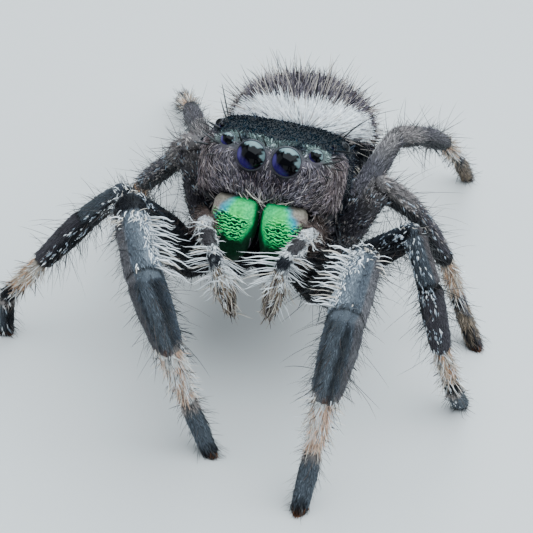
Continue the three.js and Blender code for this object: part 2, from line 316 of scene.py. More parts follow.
@dataclass(frozen=True)
class JawShell:
    """The jaws' metallic shell, mottled above and crossed by wavy folds where the alpha says so, with painted
    shade in the folds' furrows and painted highlight on their crests.
    """

    roughness: float = 0.5
    metal: float = 0.3
    gloss: float = 0.05
    fold: float = 0.08
    sway: float = 7.0
    bend: float = 2.4
    depth: float = 0.035
    mottle: float = 0.06
    # The colours of the folds: painted shade in the furrows, painted highlight on the crests.
    furrow: str = "003018"
    crest_highlight: str = "48f080"

    def material(self) -> bpy.types.Material:
        """Builds the material."""
        graph = Graph("jaw_shell")
        shader = graph.shader.inputs
        shader["Roughness"].default_value = self.roughness
        shader["Metallic"].default_value = self.metal
        shader["Specular IOR Level"].default_value = self.gloss
        waves = {"Scale": math.pi / 10 / (self.fold * MM), "Distortion": self.sway}
        waves |= {"Detail": 1.0, "Detail Scale": self.bend}
        folds = graph.node("ShaderNodeTexWave", bands_direction="Z", inputs=waves)
        graph.link(graph.coordinates.outputs["Object"], folds.inputs["Vector"])
        # Painted shade and highlight: the folds are dark in their furrows and bright on their crests.
        ramp = graph.node("ShaderNodeValToRGB")
        stops = ramp.color_ramp.elements
        stops[0].position, stops[0].color = 0.3, (*linear(self.furrow), 1)
        stops[1].position, stops[1].color = 0.95, (*linear(self.crest_highlight), 1)
        stops.new(0.62).color = (*(0.6 * Tone.EMERALD.rgb), 1)
        graph.link(folds.outputs["Fac"], ramp.inputs["Fac"])
        share = graph.tint("Alpha")
        blend = graph.node("ShaderNodeMix", data_type="RGBA")
        graph.link(share, blend.inputs["Factor"])
        graph.link(graph.tint(), blend.inputs["A"])
        graph.link(ramp.outputs["Color"], blend.inputs["B"])
        graph.varied(blend.outputs["Result"], graph.noise(self.mottle), 0.1, 1.9)
        height = graph.node("ShaderNodeMath", operation="MULTIPLY")
        graph.link(folds.outputs["Fac"], height.inputs[0])
        graph.link(share, height.inputs[1])
        graph.bump(height.outputs["Value"], self.depth)
        return graph.material


# ---------------------------------------------------------------- anatomy


class Region(IntEnum):
    """The kinds of body part that carry their own markings and hair."""

    CARAPACE = 0
    UNDERSIDE = 1
    WAIST = 2
    ABDOMEN = 3
    SPINNERETS = 4
    FEMUR = 5
    PATELLA = 6
    TIBIA = 7
    METATARSUS = 8
    TARSUS = 9
    PALP_ROOT = 10
    PALP_FEMUR = 11
    PALP_PATELLA = 12
    PALP_TIBIA = 13
    PALP_TIP = 14


LIMB_REGIONS = (Region.FEMUR, Region.PATELLA, Region.TIBIA, Region.METATARSUS, Region.TARSUS)
PALP_REGIONS = (Region.PALP_ROOT, Region.PALP_FEMUR, Region.PALP_PATELLA, Region.PALP_TIBIA, Region.PALP_TIP)


@dataclass(frozen=True)
class Part:
    """One body part with its own frame: x to its front side, y along it, z to its upper side."""

    name: str
    region: Region
    origin: np.ndarray
    axes: np.ndarray
    length: float
    start: float = 0.0
    side: int = 0
    number: int = 0

    def local(self, points: np.ndarray) -> np.ndarray:
        """Points in the part's own frame, in millimetres."""
        return (points - self.origin) @ self.axes.T

    def world(self, points: np.ndarray) -> np.ndarray:
        """Points of the part's own frame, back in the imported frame."""
        return np.asarray(points) @ self.axes + self.origin


@dataclass
class Places:
    """Points on the skin and what the anatomy says of them, one row for each."""

    point: np.ndarray
    normal: np.ndarray
    part: np.ndarray
    local: np.ndarray
    facing: np.ndarray
    along: np.ndarray
    flow: np.ndarray
    unwrap: np.ndarray
    region: np.ndarray
    number: np.ndarray
    side: np.ndarray
    length: np.ndarray

    @property
    def x(self) -> np.ndarray:
        """How far across its part each is."""
        return self.local[:, 0]

    @property
    def y(self) -> np.ndarray:
        """How far along its part each is."""
        return self.local[:, 1]

    @property
    def z(self) -> np.ndarray:
        """How high on its part each is."""
        return self.local[:, 2]

    @property
    def front(self) -> np.ndarray:
        """How much each faces its part's front side."""
        return self.facing[:, 0]

    @property
    def up(self) -> np.ndarray:
        """How much each faces its part's upper side."""
        return self.facing[:, 2]

    def keep(self, wanted: np.ndarray) -> "Places":
        """The rows that are wanted."""
        return Places(**{name: rows[wanted] for name, rows in self.__dict__.items()})

    def __len__(self) -> int:
        """How many places there are."""
        return len(self.point)


@dataclass(frozen=True)
class BodyFrames:
    """Where the body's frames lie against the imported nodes, in millimetres and degrees."""

    eye_row_fall: float = 8.45
    front_eyes: tuple = (0.0, -2.5, 0.62)
    carapace: tuple = (-2.65, 5.5)
    abdomen: tuple = (-3.15, 6.3)
    hip_share: float = 0.8
    foot_inset: float = 0.12
    palp_inset: float = 0.25


class Anatomy:
    """The parts of the body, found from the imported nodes."""

    def __init__(self, frames: BodyFrames) -> None:
        """Finds every part.

        Args:
            frames: Where the body's frames lie against the nodes.
        """
        self.frames = frames
        self.parts: list[Part] = []
        self.node_parts: dict[str, list[int]] = {}
        self.find_head()
        self.find_abdomen()
        for side in SIDES:
            for number in LEG_NUMBERS:
                self.find_leg(side, number)
            self.find_palp(side)
        self.table = {name: np.array([getattr(part, name) for part in self.parts])
                      for name in ("region", "number", "side", "length")}

    def add(self, part: Part, *nodes: str) -> None:
        """Keeps a part, and the nodes that it is made from."""
        for node in nodes:
            self.node_parts.setdefault(node, []).append(len(self.parts))
        self.parts.append(part)

    def within(self, regions: Iterable[Region]) -> np.ndarray:
        """Which parts are in some regions."""
        return np.isin(self.table["region"], [int(region) for region in regions])

    def find_head(self) -> None:
        """The carapace's frame, from the eyes."""
        eyes = {name: box_centre(f"eye_{name}") for name in EYES}
        front = (eyes["front_middle_left"] + eyes["front_middle_right"]) / 2
        rear = (eyes["rear_left"] + eyes["rear_right"]) / 2
        across = unit(eyes["rear_left"] - eyes["rear_right"])
        row = unit(rear - front)
        turn = math.radians(self.frames.eye_row_fall)
        upright = np.cross(across, row)
        back = row * math.cos(turn) - upright * math.sin(turn)
        axes = np.array([across, back, np.cross(across, back)])
        origin = front - np.array(self.frames.front_eyes) @ axes
        start, length = self.frames.carapace
        head = Part("carapace", Region.CARAPACE, origin, axes, length, start)
        self.head = head
        self.add(head, "carapace", *(f"eye_{name}" for name in EYES))
        below = Part("underside", Region.UNDERSIDE, origin, axes * [[1], [1], [-1]], length, start)
        self.add(below, "sternum", "maxilla_left", "maxilla_right")
        self.add(Part("waist", Region.WAIST, origin, axes, length, start), "pedicel")

    def find_abdomen(self) -> None:
        """The abdomen's frame, along the line to its spinnerets."""
        centre = box_centre("abdomen")
        back = unit(box_centre("spinnerets") - centre)
        across = unit(np.cross(back, [0.0, 0.0, 1.0]))
        axes = np.array([across, back, np.cross(across, back)])
        start, length = self.frames.abdomen
        self.abdomen = Part("abdomen", Region.ABDOMEN, centre, axes, length, start)
        self.add(self.abdomen, "abdomen")
        self.add(Part("spinnerets", Region.SPINNERETS, centre, axes, length, start), "spinnerets")

    def add_chain(self, name: str, joints: list, regions: Iterable[Region], nodes: list, side: str,
                  number: int) -> None:
        """Keeps the segments of a limb, which all bend in about one plane.

        Args:
            name: The limb's name.
            joints: Its joints, from the body outwards.
            regions: The region of each segment.
            nodes: The node of each segment.
            side: Which side of the body it is on.
            number: The leg's number, or 0.
        """
        runs = [b - a for a, b in zip(joints, joints[1:])]
        ways = [unit(run) for run in runs]
        bend = -sum(np.cross(a, b) for a, b in zip(ways, ways[1:]))
        for region, node, joint, run, way in zip(regions, nodes, joints, runs, ways):
            right = unit(bend - (bend @ way) * way)
            axes = np.array([right * SIDES[side], way, np.cross(right, way)])
            length = float(np.linalg.norm(run))
            title = f"{name}_{region.name.lower()}"
            self.add(Part(title, region, joint, axes, length, 0.0, SIDES[side], number), node)

    def find_leg(self, side: str, number: int) -> None:
        """The five segments of a leg, from where their solids meet."""
        names = [f"leg_{number}_{side}_{segment}" for segment in SEGMENTS]
        solids = [node_points(name) for name in names]
        joints = [shared_point(a, b) for a, b in zip(solids, solids[1:])]
        reach = np.linalg.norm(solids[0] - joints[0], axis=1)
        furthest = reach.max()
        belly = solids[0][(reach > 0.3 * furthest) & (reach < 0.68 * furthest)].mean(axis=0)
        hip = joints[0] - unit(joints[0] - belly) * furthest * self.frames.hip_share
        tip = solids[-1][np.argmax(np.linalg.norm(solids[-1] - joints[-1], axis=1))]
        foot = tip + unit(joints[-1] - tip) * self.frames.foot_inset
        self.add_chain(f"leg_{number}_{side}", [hip, *joints, foot], LIMB_REGIONS, names, side, number)

    def find_palp(self, side: str) -> None:
        """The five segments of a palp, from the extremes of its solid."""
        name = f"palp_{side}"
        solid = node_points(name)
        inset = self.frames.palp_inset
        base = extreme(solid, (0, 1, -0.4), inset)
        elbow = extreme(solid, (0.8 * SIDES[side], 0.8, 0.5), inset)
        knee = extreme(solid, (0, -0.1, 1), inset)
        bend = extreme(solid, (0, -1, 0.35), inset)
        tip = extreme(solid, (0, 0, -1), inset, solid[:, 1] < base[1] - 1)
        neck = bend + (tip - bend) * 0.16
        shoulder = knee + (bend - knee) * 0.62
        joints = [base, elbow, knee, shoulder, neck, tip]
        self.add_chain(name, joints, PALP_REGIONS, [name] * len(PALP_REGIONS), side, 0)

    def describe(self, points: np.ndarray, normals: np.ndarray, part: np.ndarray) -> Places:
        """Says where points lie on their parts, and which way hair runs there.

        Args:
            points: Places on the skin, as rows.
            normals: The skin's normals there.
            part: Each point's part.

        Returns:
            The places.
        """
        count = len(points)
        local, facing, flow = np.zeros((3, count, 3))
        along = np.zeros(count)
        for index in np.unique(part):
            rows = part == index
            one = self.parts[index]
            local[rows] = one.local(points[rows])
            facing[rows] = normals[rows] @ one.axes.T
            along[rows] = (local[rows, 1] - one.start) / one.length
            if one.region == Region.CARAPACE:
                way = self.head_flow(local[rows], facing[rows])
            else:
                way = np.array([[0.0, 1.0, 0.0]])
            flow[rows] = way @ one.axes
        flow = unit(flow - (flow * normals).sum(axis=1, keepdims=True) * normals)
        turn = np.arctan2(facing[:, 0], facing[:, 2]) / (2 * math.pi) + 0.5
        unwrap = np.stack([turn, np.clip(along, 0, 1)], axis=1)
        own = {name: column[part] for name, column in self.table.items()}
        return Places(points, normals, part, local, facing, along, flow, unwrap, **own)

    def head_flow(self, local: np.ndarray, facing: np.ndarray) -> np.ndarray:
        """Which way hair runs on the carapace, in the head's frame.

        Args:
            local: Places in the head's frame.
            facing: Normals in the head's frame.

        Returns:
            Unit directions.
        """
        chin = np.array([0.0, -2.75, -1.15])
        face = ease(facing[:, 1], -0.25, -0.75) * ease(local[:, 2], 0.85, 0.35)
        inward = unit(chin - local)
        flank = ease(np.abs(facing[:, 0]), 0.35, 0.7) * ease(local[:, 1], -0.6, -1.4)
        back = unit(np.stack([0.25 * np.sign(local[:, 0]), 1 - 0.7 * flank, -1.1 * flank], axis=1))
        way = back * (1 - face)[:, None] + inward * face[:, None]
        for eye, radius in self.eyes():
            off = local - eye
            gap = np.linalg.norm(off, axis=1) - radius
            way += unit(off) * (1.4 * np.exp(-np.maximum(gap, 0) / 0.12))[:, None]
        return unit(way)

    def eyes(self) -> list[tuple[np.ndarray, float]]:
        """Each eye's centre in the head's frame, and its radius."""
        return [(self.head.local(box_centre(f"eye_{name}")), box_radius(f"eye_{name}")) for name in EYES]


def shared_point(one: np.ndarray, other: np.ndarray) -> np.ndarray:
    """The middle of where two solids meet end to end.

    Args:
        one: The first solid's corners.
        other: The second's.

    Returns:
        The point.
    """
    gaps = np.linalg.norm(one[:, None] - other[None], axis=2)
    near = [points[gaps.min(axis=axis) < JOINT_REACH] for axis, points in ((1, one), (0, other))]
    return (near[0].mean(axis=0) + near[1].mean(axis=0)) / 2


def extreme(points: np.ndarray, way: tuple, inset: float, where: np.ndarray | None = None) -> np.ndarray:
    """The outermost place of a solid in one direction, set back into it.

    Args:
        points: The solid's corners.
        way: The direction.
        inset: How far back the place is moved.
        where: Which corners count, or all.

    Returns:
        The point.
    """
    chosen = points if where is None else points[where]
    direction = unit(np.array(way, float))
    reach = chosen @ direction
    return chosen[reach > reach.max() - 0.1].mean(axis=0) - direction * inset


# ---------------------------------------------------------------- markings


@dataclass
class Markings:
    """The colours of the skin and of the hair that lies on it."""

    anatomy: Anatomy

    def colour(self, places: Places) -> np.ndarray:
        """The ground colour at each place.

        Args:
            places: Places on the skin.

        Returns:
            Linear colours, as rows.
        """
        result = np.tile(Tone.SOOT.rgb, (len(places), 1))
        painters = dict.fromkeys(PALP_REGIONS, self.palp) | dict.fromkeys(LIMB_REGIONS, self.leg)
        painters |= {Region.CARAPACE: self.carapace, Region.ABDOMEN: self.abdomen}
        for region in set(painters) & set(places.region):
            rows = places.region == region
            result[rows] = painters[region](places.keep(rows))
        return result

    def face(self, places: Places) -> np.ndarray:
        """How much a place of the head belongs to the furry face, which runs on round the cheeks."""
        return ease(places.y, -1.1, -1.6) * ease(places.z, 0.95, 0.7)

    def brow(self, places: Places) -> np.ndarray:
        """How much a place is among the pale scales over the front eyes and round the side ones."""
        pale = np.zeros(len(places))
        for (eye, radius), name in zip(self.anatomy.eyes(), EYES):
            if not name.startswith("front"):
                continue
            off = places.local - eye
            gap = np.linalg.norm(off, axis=1) - radius
            above = ease(off[:, 2], 0.1, 0.35) if "middle" in name else ease(off[:, 2], -0.2, 0.0)
            pale = np.maximum(pale, ease(gap, 0.3, 0.16) * above)
        return pale

    def carapace(self, places: Places) -> np.ndarray:
        """Grey-brown face with painted plum shade beneath the front eyes, green-black crown, dark bluish
        sides and a pale brow.
        """
        x, y, z = places.local.T
        wander = ripple(places.local, 0.5, 11)
        crown, face = ease(places.up, 0.35, 0.75), self.face(places)
        # Painted shade: a plum band beneath the front eyes.
        shade_under_eyes = np.exp(-(np.maximum(np.abs(x) - 0.55, 0) ** 2) / 0.05 - (z - 0.12) ** 2 / 0.045)
        tone = painted(
            len(places), Tone.COAL,
            (Tone.MOSS, crown * (0.75 + 0.25 * wander)),
            (Tone.INK, 0.55 * crown * ease(y, -1.4, -0.6)),
            (Tone.ASH, face),
            (Tone.TAUPE, face * ease(np.abs(x), 1.1, 1.6) * 0.6),
            (Tone.PLUM, face * np.clip(shade_under_eyes + 0.25 * wander - 0.05, 0, 0.9)),
            (Tone.SOOT, face * ease(z, -0.42, -0.55)),
        )
        clumps = 1 + 0.35 * ripple(places.local, 0.4, 21) + 0.3 * ripple(places.local, 0.15, 22)
        tone = tone * (1 + face * (np.clip(clumps, 0.3, 1.8) - 1))[:, None]
        return mixed(tone, Tone.LICHEN.rgb, self.brow(places) * (0.35 + 0.3 * wander))

    def band(self, places: Places) -> np.ndarray:
        """How much a place of the abdomen is in the white band round its front."""
        x, y, z = places.local.T
        wander = 0.05 * ripple(places.local, 0.5, 3)
        return ease(y + 2.6 - 0.34 * x**2 + wander, 0.06, -0.06) * ease(z, -0.3, 0.0)

    def abdomen(self, places: Places) -> np.ndarray:
        """Black, with a white front band, pale side bars and the three rear spots."""
        x, y, z = places.local.T
        wander = 0.05 * ripple(places.local, 0.5, 3)
        above = z > 0
        triangle = ease(np.abs(x) + 0.75 * np.abs(y - 0.45) + wander, 0.55, 0.45) * above
        spots = ease(np.hypot(np.abs(x) - 0.8, (y - 1.75) * 0.8) + wander, 0.34, 0.24) * above
        bars = ease(np.abs(y + 0.2 - 0.5 * z) + wander, 0.2, 0.12) * ease(z, 1.0, 0.7) * ease(z, -0.7, -0.4)
        fuzz = ease(y, 0.6, -1.5) * ease(z, -0.2, 0.6)
        below = ease(places.up, -0.5, -0.8)
        lungs = np.exp(-((np.abs(x) - 0.75) ** 2) / 0.12 - (y + 2.0) ** 2 / 0.2)
        return painted(
            len(places), Tone.SOOT,
            (Tone.ASH, 0.6 * fuzz),
            (Tone.TAUPE, below * np.clip(0.35 + lungs - 0.5 * peak(x, 0, 0.02), 0, 1)),
            (Tone.SNOW, np.maximum.reduce([self.band(places), triangle, spots, 0.75 * bars])),
        )

    def palp(self, places: Places) -> np.ndarray:
        """White knee, dark bare patches with white rims, and a tan tip behind a white ring."""
        count, region, along, side = len(places), places.region[0], places.along, np.abs(places.front)
        wander = 0.15 * ripple(places.point, 0.2, 5)
        if region == Region.PALP_FEMUR:
            white = ease(along + wander, 0.55, 0.75) * ease(places.up, 0.2, 0.6)
            return painted(count, Tone.UMBER, (Tone.TAUPE, 0.7 * ease(along, 0.0, 0.4)), (Tone.SNOW, white))
        if region == Region.PALP_PATELLA:
            bare = ease(side + wander, 0.98, 0.84) * ease(along, 0.04, 0.14) * ease(along, 1.0, 0.9)
            dark = painted(count, Tone.UMBER, (Tone.SLATE, bare * 0.35))
            return mixed(painted(count, Tone.SNOW), dark, bare)
        if region == Region.PALP_TIBIA:
            rim = np.maximum(ease(np.abs(along + wander - 0.42), 0.3, 0.4), 0.5 * ease(side, 0.8, 0.95))
            return painted(count, Tone.COAL, (Tone.SNOW, rim))
        if region == Region.PALP_TIP:
            ring = ease(along, 0.03, 0.08) * ease(along + wander, 0.28, 0.18)
            return painted(count, Tone.TAN, (Tone.UMBER, ease(along, 0.3, 0.9)), (Tone.SNOW, ring))
        return painted(count, Tone.UMBER)

    def leg(self, places: Places) -> np.ndarray:
        """Black legs with slate front knees, cream second-last segments and dark feet; a painted sheen lies
        along the top of each foot, and the pale streak of each front tibia is partly painted sheen.
        """
        region, along, left = places.region[0], places.along, places.side > 0
        front, up = unit(places.facing[:, [0, 2]]).T
        first, second, rear = places.number == 1, places.number == 2, places.number > 2
        patchy, fine = ripple(places.point, 0.35, 7), ripple(places.point, 0.12, 8)
        if region == Region.FEMUR:
            dorsal = ease(up, 0.0, 0.6)
            layers = [
                (Tone.SLATE, 0.5 * dorsal * ease(along, 0.3, 0.9)),
                (Tone.STONE, rear * 0.5 * dorsal * ease(along, 0.55, 0.9)),
            ]
        elif region == Region.PATELLA:
            start = np.where(left, KNEE_START["left"], KNEE_START["right"])
            inner = ease(front + 0.1 * fine, 0.3, 0.5)
            inner = inner + ease(along + 0.1 * fine, 0.5, 0.3) * ease(front, -0.1, 0.15)
            inner = np.clip(inner, 0, 1) * (along > start)
            layers = [
                (Tone.GREY, first * ease(up, -0.3, 0.1)),
                (Tone.GREY, second * 0.5 * ease(up, 0.0, 0.4)),
                (Tone.TAUPE, 0.45 * ease(front, -0.15, -0.5)),
                (Tone.SLATE, 0.5 * first * peak(front, -0.1, 0.02)),
                (Tone.SOOT, first * ease(along, start, start - 0.06)),
                (Tone.STEEL, first * 0.4 * inner * ease(along, 0.95, 0.88)),
                (Tone.STONE, rear * 0.5 * ease(up + front, 0.2, 0.8) * ease(along, 1.0, 0.5)),
                (Tone.INK, 0.8 * ~rear * peak(along, 0.98, 0.0004)),
            ]
        elif region == Region.TIBIA:
            streak_and_sheen = np.where(left, 1.0, 0.9)
            end = ease(along + 0.04 * fine, 0.84, 0.93)
            layers = [
                (Tone.SLATE, first * ease(up, -0.7, -0.2)),
                (Tone.GREY, 0.35 * first * left),
                (Tone.ASH, second * 0.35 * ease(up, 0.1, 0.5)),
                (Tone.INK, second * ease(along, 0.07, 0.03)),
                # A pale streak along the front of tibia I: partly its own colour and partly painted sheen.
                (Tone.GREY, streak_and_sheen * first * peak(front, 0.25, 0.12)),
                (Tone.INK, first * 0.75 * (peak(front, -0.25, 0.012) + peak(front, 0.7, 0.02))),
                (Tone.TAUPE, first * 0.35 * ease(front, -0.4, -0.65) * ease(up, -0.4, 0.1)),
                (Tone.RUST, first * 0.6 * end * ease(np.abs(front), 0.4, 0.2)),
                (Tone.INK, rear * 0.8 * ease(along, 0.72, 0.86)),
                (Tone.STONE, first * 0.8 * end * ease(np.abs(front), 0.35, 0.55)),
            ]
        elif region == Region.METATARSUS:
            pale = np.where(first, ease(along, 0.95, 0.87), ease(along, 0.72, 0.58))
            layers = [
                (Tone.CREAM, pale),
                (Tone.SNOW, 0.6 * pale * first),
                (Tone.TAN, ~first * 0.5 * pale),
                (Tone.BLUSH, pale * ease(patchy, -0.3, 0.5) * np.where(rear, 0.5, 0.65)),
                (Tone.INK, first * ease(along, 0.93, 0.99)),
            ]
        else:
            layers = [
                # Painted sheen: a grey highlight along the top of each foot, brightest in its middle.
                (Tone.GREY, 0.7 * ease(up, -0.4, 0.5) * ease(np.abs(along - 0.45), 0.5, 0.2)),
                (Tone.STONE, ease(along, 0.22, 0.08)),
                (Tone.TAN, rear * 0.8 * ease(along, 0.9, 0.7) * ease(patchy, -0.9, 0.2)),
                (Tone.RUST, 0.5 * ease(along, 0.92, 1.0)),
            ]
        return painted(len(places), Tone.SOOT, (Tone.ASH, rear * 0.6 * ease(up, -0.5, 0.3)), *layers)


# ---------------------------------------------------------------- skin


@dataclass(frozen=True)
class SkinSizes:
    """How the skin is made from the solids, in millimetres."""

    voxel: float = 0.08
    swell: float = 0.035
    eye_share: float = 0.9
    smoothing: int = 5
    groove: float = 0.06
    groove_width: float = 0.055
    head_detail: int = 1


COAT_DEPTH = dict.fromkeys(Region, 0.06) | dict.fromkeys(PALP_REGIONS, 0.09) | {
    Region.WAIST: 0.05,
    Region.ABDOMEN: 0.12,
    Region.SPINNERETS: 0.05,
    Region.PATELLA: 0.045,
    Region.TIBIA: 0.045,
    Region.METATARSUS: 0.08,
    Region.PALP_TIP: 0.11,
}


def to_bmesh(name: str) -> bmesh.types.BMesh:
    """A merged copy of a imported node's mesh, in millimetres."""
    shape = bmesh.new()
    shape.from_mesh(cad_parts[name].data)
    bmesh.ops.scale(shape, verts=shape.verts, vec=(1 / MM,) * 3)
    bmesh.ops.remove_doubles(shape, verts=shape.verts, dist=1e-4)
    return shape


def to_mesh(shape: bmesh.types.BMesh, name: str) -> bpy.types.Mesh:
    """A new mesh of a shape, which is freed."""
    mesh = bpy.data.meshes.new(name)
    shape.to_mesh(mesh)
    shape.free()
    return mesh


def remeshed(shape: bmesh.types.BMesh, voxel: float, smoothing: int) -> bpy.types.Mesh:
    """One smooth closed mesh over a shape whose solids may run into each other.

    Args:
        shape: The shape, which is freed.
        voxel: The new mesh's grid.
        smoothing: How many times the surface is smoothed.

    Returns:
        The new mesh.
    """
    rough = to_mesh(shape, "rough")
    holder = bpy.data.objects.new("rough", rough)
    bpy.context.scene.collection.objects.link(holder)
    grid = holder.modifiers.new("grid", "REMESH")
    grid.mode = "VOXEL"
    grid.voxel_size = voxel
    soft = holder.modifiers.new("soft", "SMOOTH")
    soft.factor = 0.5
    soft.iterations = smoothing
    made = bpy.data.meshes.new_from_object(holder.evaluated_get(bpy.context.evaluated_depsgraph_get()))
    bpy.data.objects.remove(holder)
    bpy.data.meshes.remove(rough)
    return made


def corners_of(mesh: bpy.types.Mesh) -> np.ndarray:
    """A mesh's corners, as rows."""
    rows = np.empty(len(mesh.vertices) * 3)
    mesh.vertices.foreach_get("co", rows)
    return rows.reshape(-1, 3)


def normals_of(mesh: bpy.types.Mesh) -> np.ndarray:
    """A mesh's corner normals, as rows."""
    rows = np.empty(len(mesh.vertices) * 3)
    mesh.vertex_normals.foreach_get("vector", rows)
    return rows.reshape(-1, 3)


def set_tint(mesh: bpy.types.Mesh, colours: np.ndarray, share: np.ndarray | float = 1.0) -> None:
    """Writes a mesh's colour attribute, one row for each corner, with a share as its alpha."""
    layer = mesh.color_attributes.new(TINT, "FLOAT_COLOR", "POINT")
    alpha = np.broadcast_to(share, len(colours))[:, None]
    rows = np.concatenate([np.clip(colours, 0, 1), alpha], axis=1)
    layer.data.foreach_set("color", rows.astype(np.float32).ravel())


def finish_piece(mesh: bpy.types.Mesh, name: str, finish: bpy.types.Material,
                 nodes: Iterable[str] = ()) -> bpy.types.Object:
    """Puts a mesh in metres, as a piece that rides on the body.

    Args:
        mesh: The mesh, in millimetres.
        name: The piece's name.
        finish: Its material.
        nodes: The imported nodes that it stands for.

    Returns:
        The piece's object.
    """
    mesh.transform(Matrix.Scale(MM, 4))
    mesh.polygons.foreach_set("use_smooth", np.ones(len(mesh.polygons), bool))
    mesh.materials.clear()
    mesh.materials.append(finish)
    mesh.name = name
    piece = bpy.data.objects.new(name, mesh)
    bpy.context.scene.collection.objects.link(piece)
    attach(piece, BODY)
    if nodes:
        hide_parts(*nodes)
    LOG.info("%s: %d faces", name, len(mesh.polygons))
    return piece


class Skin:
    """One skin over the body, the limbs and the palps, and the surface that hair grows from."""

    def __init__(self, anatomy: Anatomy, markings: Markings, sizes: SkinSizes) -> None:
        """Builds and dresses the skin.

        Args:
            anatomy: The spider's parts.
            markings: Its colours.
            sizes: How the skin is made.
        """
        self.anatomy = anatomy
        self.sizes = sizes
        self.flesh = [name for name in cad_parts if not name.startswith(("eye_", "chelicera_"))]
        self.nodes = sorted(self.flesh) + sorted(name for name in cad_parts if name.startswith("eye_"))
        self.mesh = remeshed(self.solids(), sizes.voxel, sizes.smoothing)
        self.refine_head()
        self.find_parts()
        self.shape()
        places = self.places()
        set_tint(self.mesh, markings.colour(places) * self.shade(places)[:, None])
        self.measure()

    def solids(self) -> bmesh.types.BMesh:
        """All the flesh as one shape, swollen so that neighbours run into each other."""
        whole = bmesh.new()
        for name in self.nodes:
            shape = to_bmesh(name)
            if name in self.flesh:
                for corner in shape.verts:
                    corner.co += corner.normal * self.sizes.swell
            else:
                centre = Vector(box_centre(name))
                bmesh.ops.translate(shape, verts=shape.verts, vec=-centre)
                bmesh.ops.scale(shape, verts=shape.verts, vec=(self.sizes.eye_share,) * 3)
                bmesh.ops.translate(shape, verts=shape.verts, vec=centre)
            part = to_mesh(shape, "part")
            whole.from_mesh(part)
            bpy.data.meshes.remove(part)
        return whole

    def refine_head(self) -> None:
        """Gives the face a finer mesh."""
        shape = bmesh.new()
        shape.from_mesh(self.mesh)
        head = self.anatomy.head
        centres = head.local(np.array([face.calc_center_median() for face in shape.faces]))
        wanted = (centres[:, 1] < -1.3) & (np.abs(centres[:, 0]) < 2.0) & (centres[:, 2] > -0.7)
        shape.faces.ensure_lookup_table()
        edges = {edge for i in np.flatnonzero(wanted) for edge in shape.faces[i].edges}
        bmesh.ops.subdivide_edges(
            shape, edges=list(edges), cuts=self.sizes.head_detail, use_grid_fill=True, smooth=0.0
        )
        shape.to_mesh(self.mesh)
        shape.free()

    def find_parts(self) -> None:
        """Finds each corner's part, as that of the nearest solid."""
        corners, faces, owners = [], [], []
        for name in self.nodes:
            shape = to_bmesh(name)
            start = len(corners)
            corners.extend(corner.co.copy() for corner in shape.verts)
            faces.extend([start + corner.index for corner in face.verts] for face in shape.faces)
            owners.extend([name] * len(shape.faces))
            shape.free()
        tree = BVHTree.FromPolygons(corners, faces)
        choices = self.anatomy.node_parts
        points = corners_of(self.mesh)
        self.part = np.array([choices[owners[tree.find_nearest(Vector(point))[2]]][0] for point in points])
        for side in SIDES:
            options = choices[f"palp_{side}"]
            rows = np.isin(self.part, options)
            gaps = np.stack([self.bone_gap(points[rows], option) for option in options])
            self.part[rows] = np.array(options)[gaps.argmin(axis=0)]

    def bone_gap(self, points: np.ndarray, option: int) -> np.ndarray:
        """How far points are from the middle line of a part."""
        part = self.anatomy.parts[option]
        local = part.local(points)
        local[:, 1] -= np.clip(local[:, 1], 0, part.length)
        return np.linalg.norm(local, axis=1)

    def places(self) -> Places:
        """Every corner of the skin."""
        return self.anatomy.describe(corners_of(self.mesh), normals_of(self.mesh), self.part)

    def shape(self) -> None:
        """Draws the skin in under the coat and works its folds, rims and joints."""
        places = self.places()
        depth = np.array([COAT_DEPTH[region] for region in Region])[places.region]
        depth += self.groove(places)
        depth -= self.head_relief(places)
        points = places.point - places.normal * depth[:, None]
        self.mesh.vertices.foreach_set("co", points.ravel())
        self.mesh.update()

    def groove(self, places: Places) -> np.ndarray:
        """How much deeper the skin is at the joints of the limbs."""
        regions, outward = places.region, places.along > 0.5
        ends = np.minimum(np.abs(places.along), np.abs(1 - places.along)) * places.length
        limb = (regions >= Region.PATELLA) | ((regions == Region.FEMUR) & outward)
        limb &= ~(np.isin(regions, (Region.TARSUS, Region.PALP_TIP)) & outward)
        depth = self.sizes.groove * np.where(places.number == 1, 0.5, 1.0)
        return depth * np.exp(-((ends / self.sizes.groove_width) ** 2)) * limb

    def head_relief(self, places: Places) -> np.ndarray:
        """How far the carapace stands up as rims round the eyes, and sinks at its furrow."""
        relief = np.zeros(len(places))
        for eye, radius in self.anatomy.eyes():
            off = np.linalg.norm(places.local - eye, axis=1) - radius
            relief += 0.3 * radius**0.5 * 0.16 * np.exp(-(((off - 0.02) / 0.06) ** 2))
        furrow = np.exp(-((places.x / 0.08) ** 2)) * ease(places.y, 0.2, 0.5) * ease(places.y, 1.3, 0.9)
        waist = 0.05 * np.exp(-(((places.y - 0.1) / 0.3) ** 2)) * ease(places.up, 0.5, 0.9)
        return (relief - 0.06 * furrow - waist) * (places.region == Region.CARAPACE)

    def shade(self, places: Places) -> np.ndarray:
        """How much darker the skin is than the hair on it."""
        joint = self.groove(places) / self.sizes.groove
        shares = {Region.CARAPACE: 0.35, Region.METATARSUS: 0.85}
        return np.array([shares.get(region, 0.5) for region in Region])[places.region] * (1 - 0.8 * joint)

    def measure(self) -> None:
        """Keeps the skin's triangles and corners, for growing hair."""
        mesh = self.mesh
        mesh.calc_loop_triangles()
        triangles = np.empty(len(mesh.loop_triangles) * 3, int)
        mesh.loop_triangles.foreach_get("vertices", triangles)
        self.triangles = triangles.reshape(-1, 3)
        self.points = corners_of(mesh)
        self.normals = normals_of(mesh)
        a, b, c = (self.points[self.triangles[:, i]] for i in range(3))
        self.areas = np.linalg.norm(np.cross(b - a, c - a), axis=1) / 2
        self.triangle_part = self.part[self.triangles[:, 0]]
        self.tree = KDTree(len(self.points))
        for index, point in enumerate(self.points):
            self.tree.insert(point, index)
        self.tree.balance()

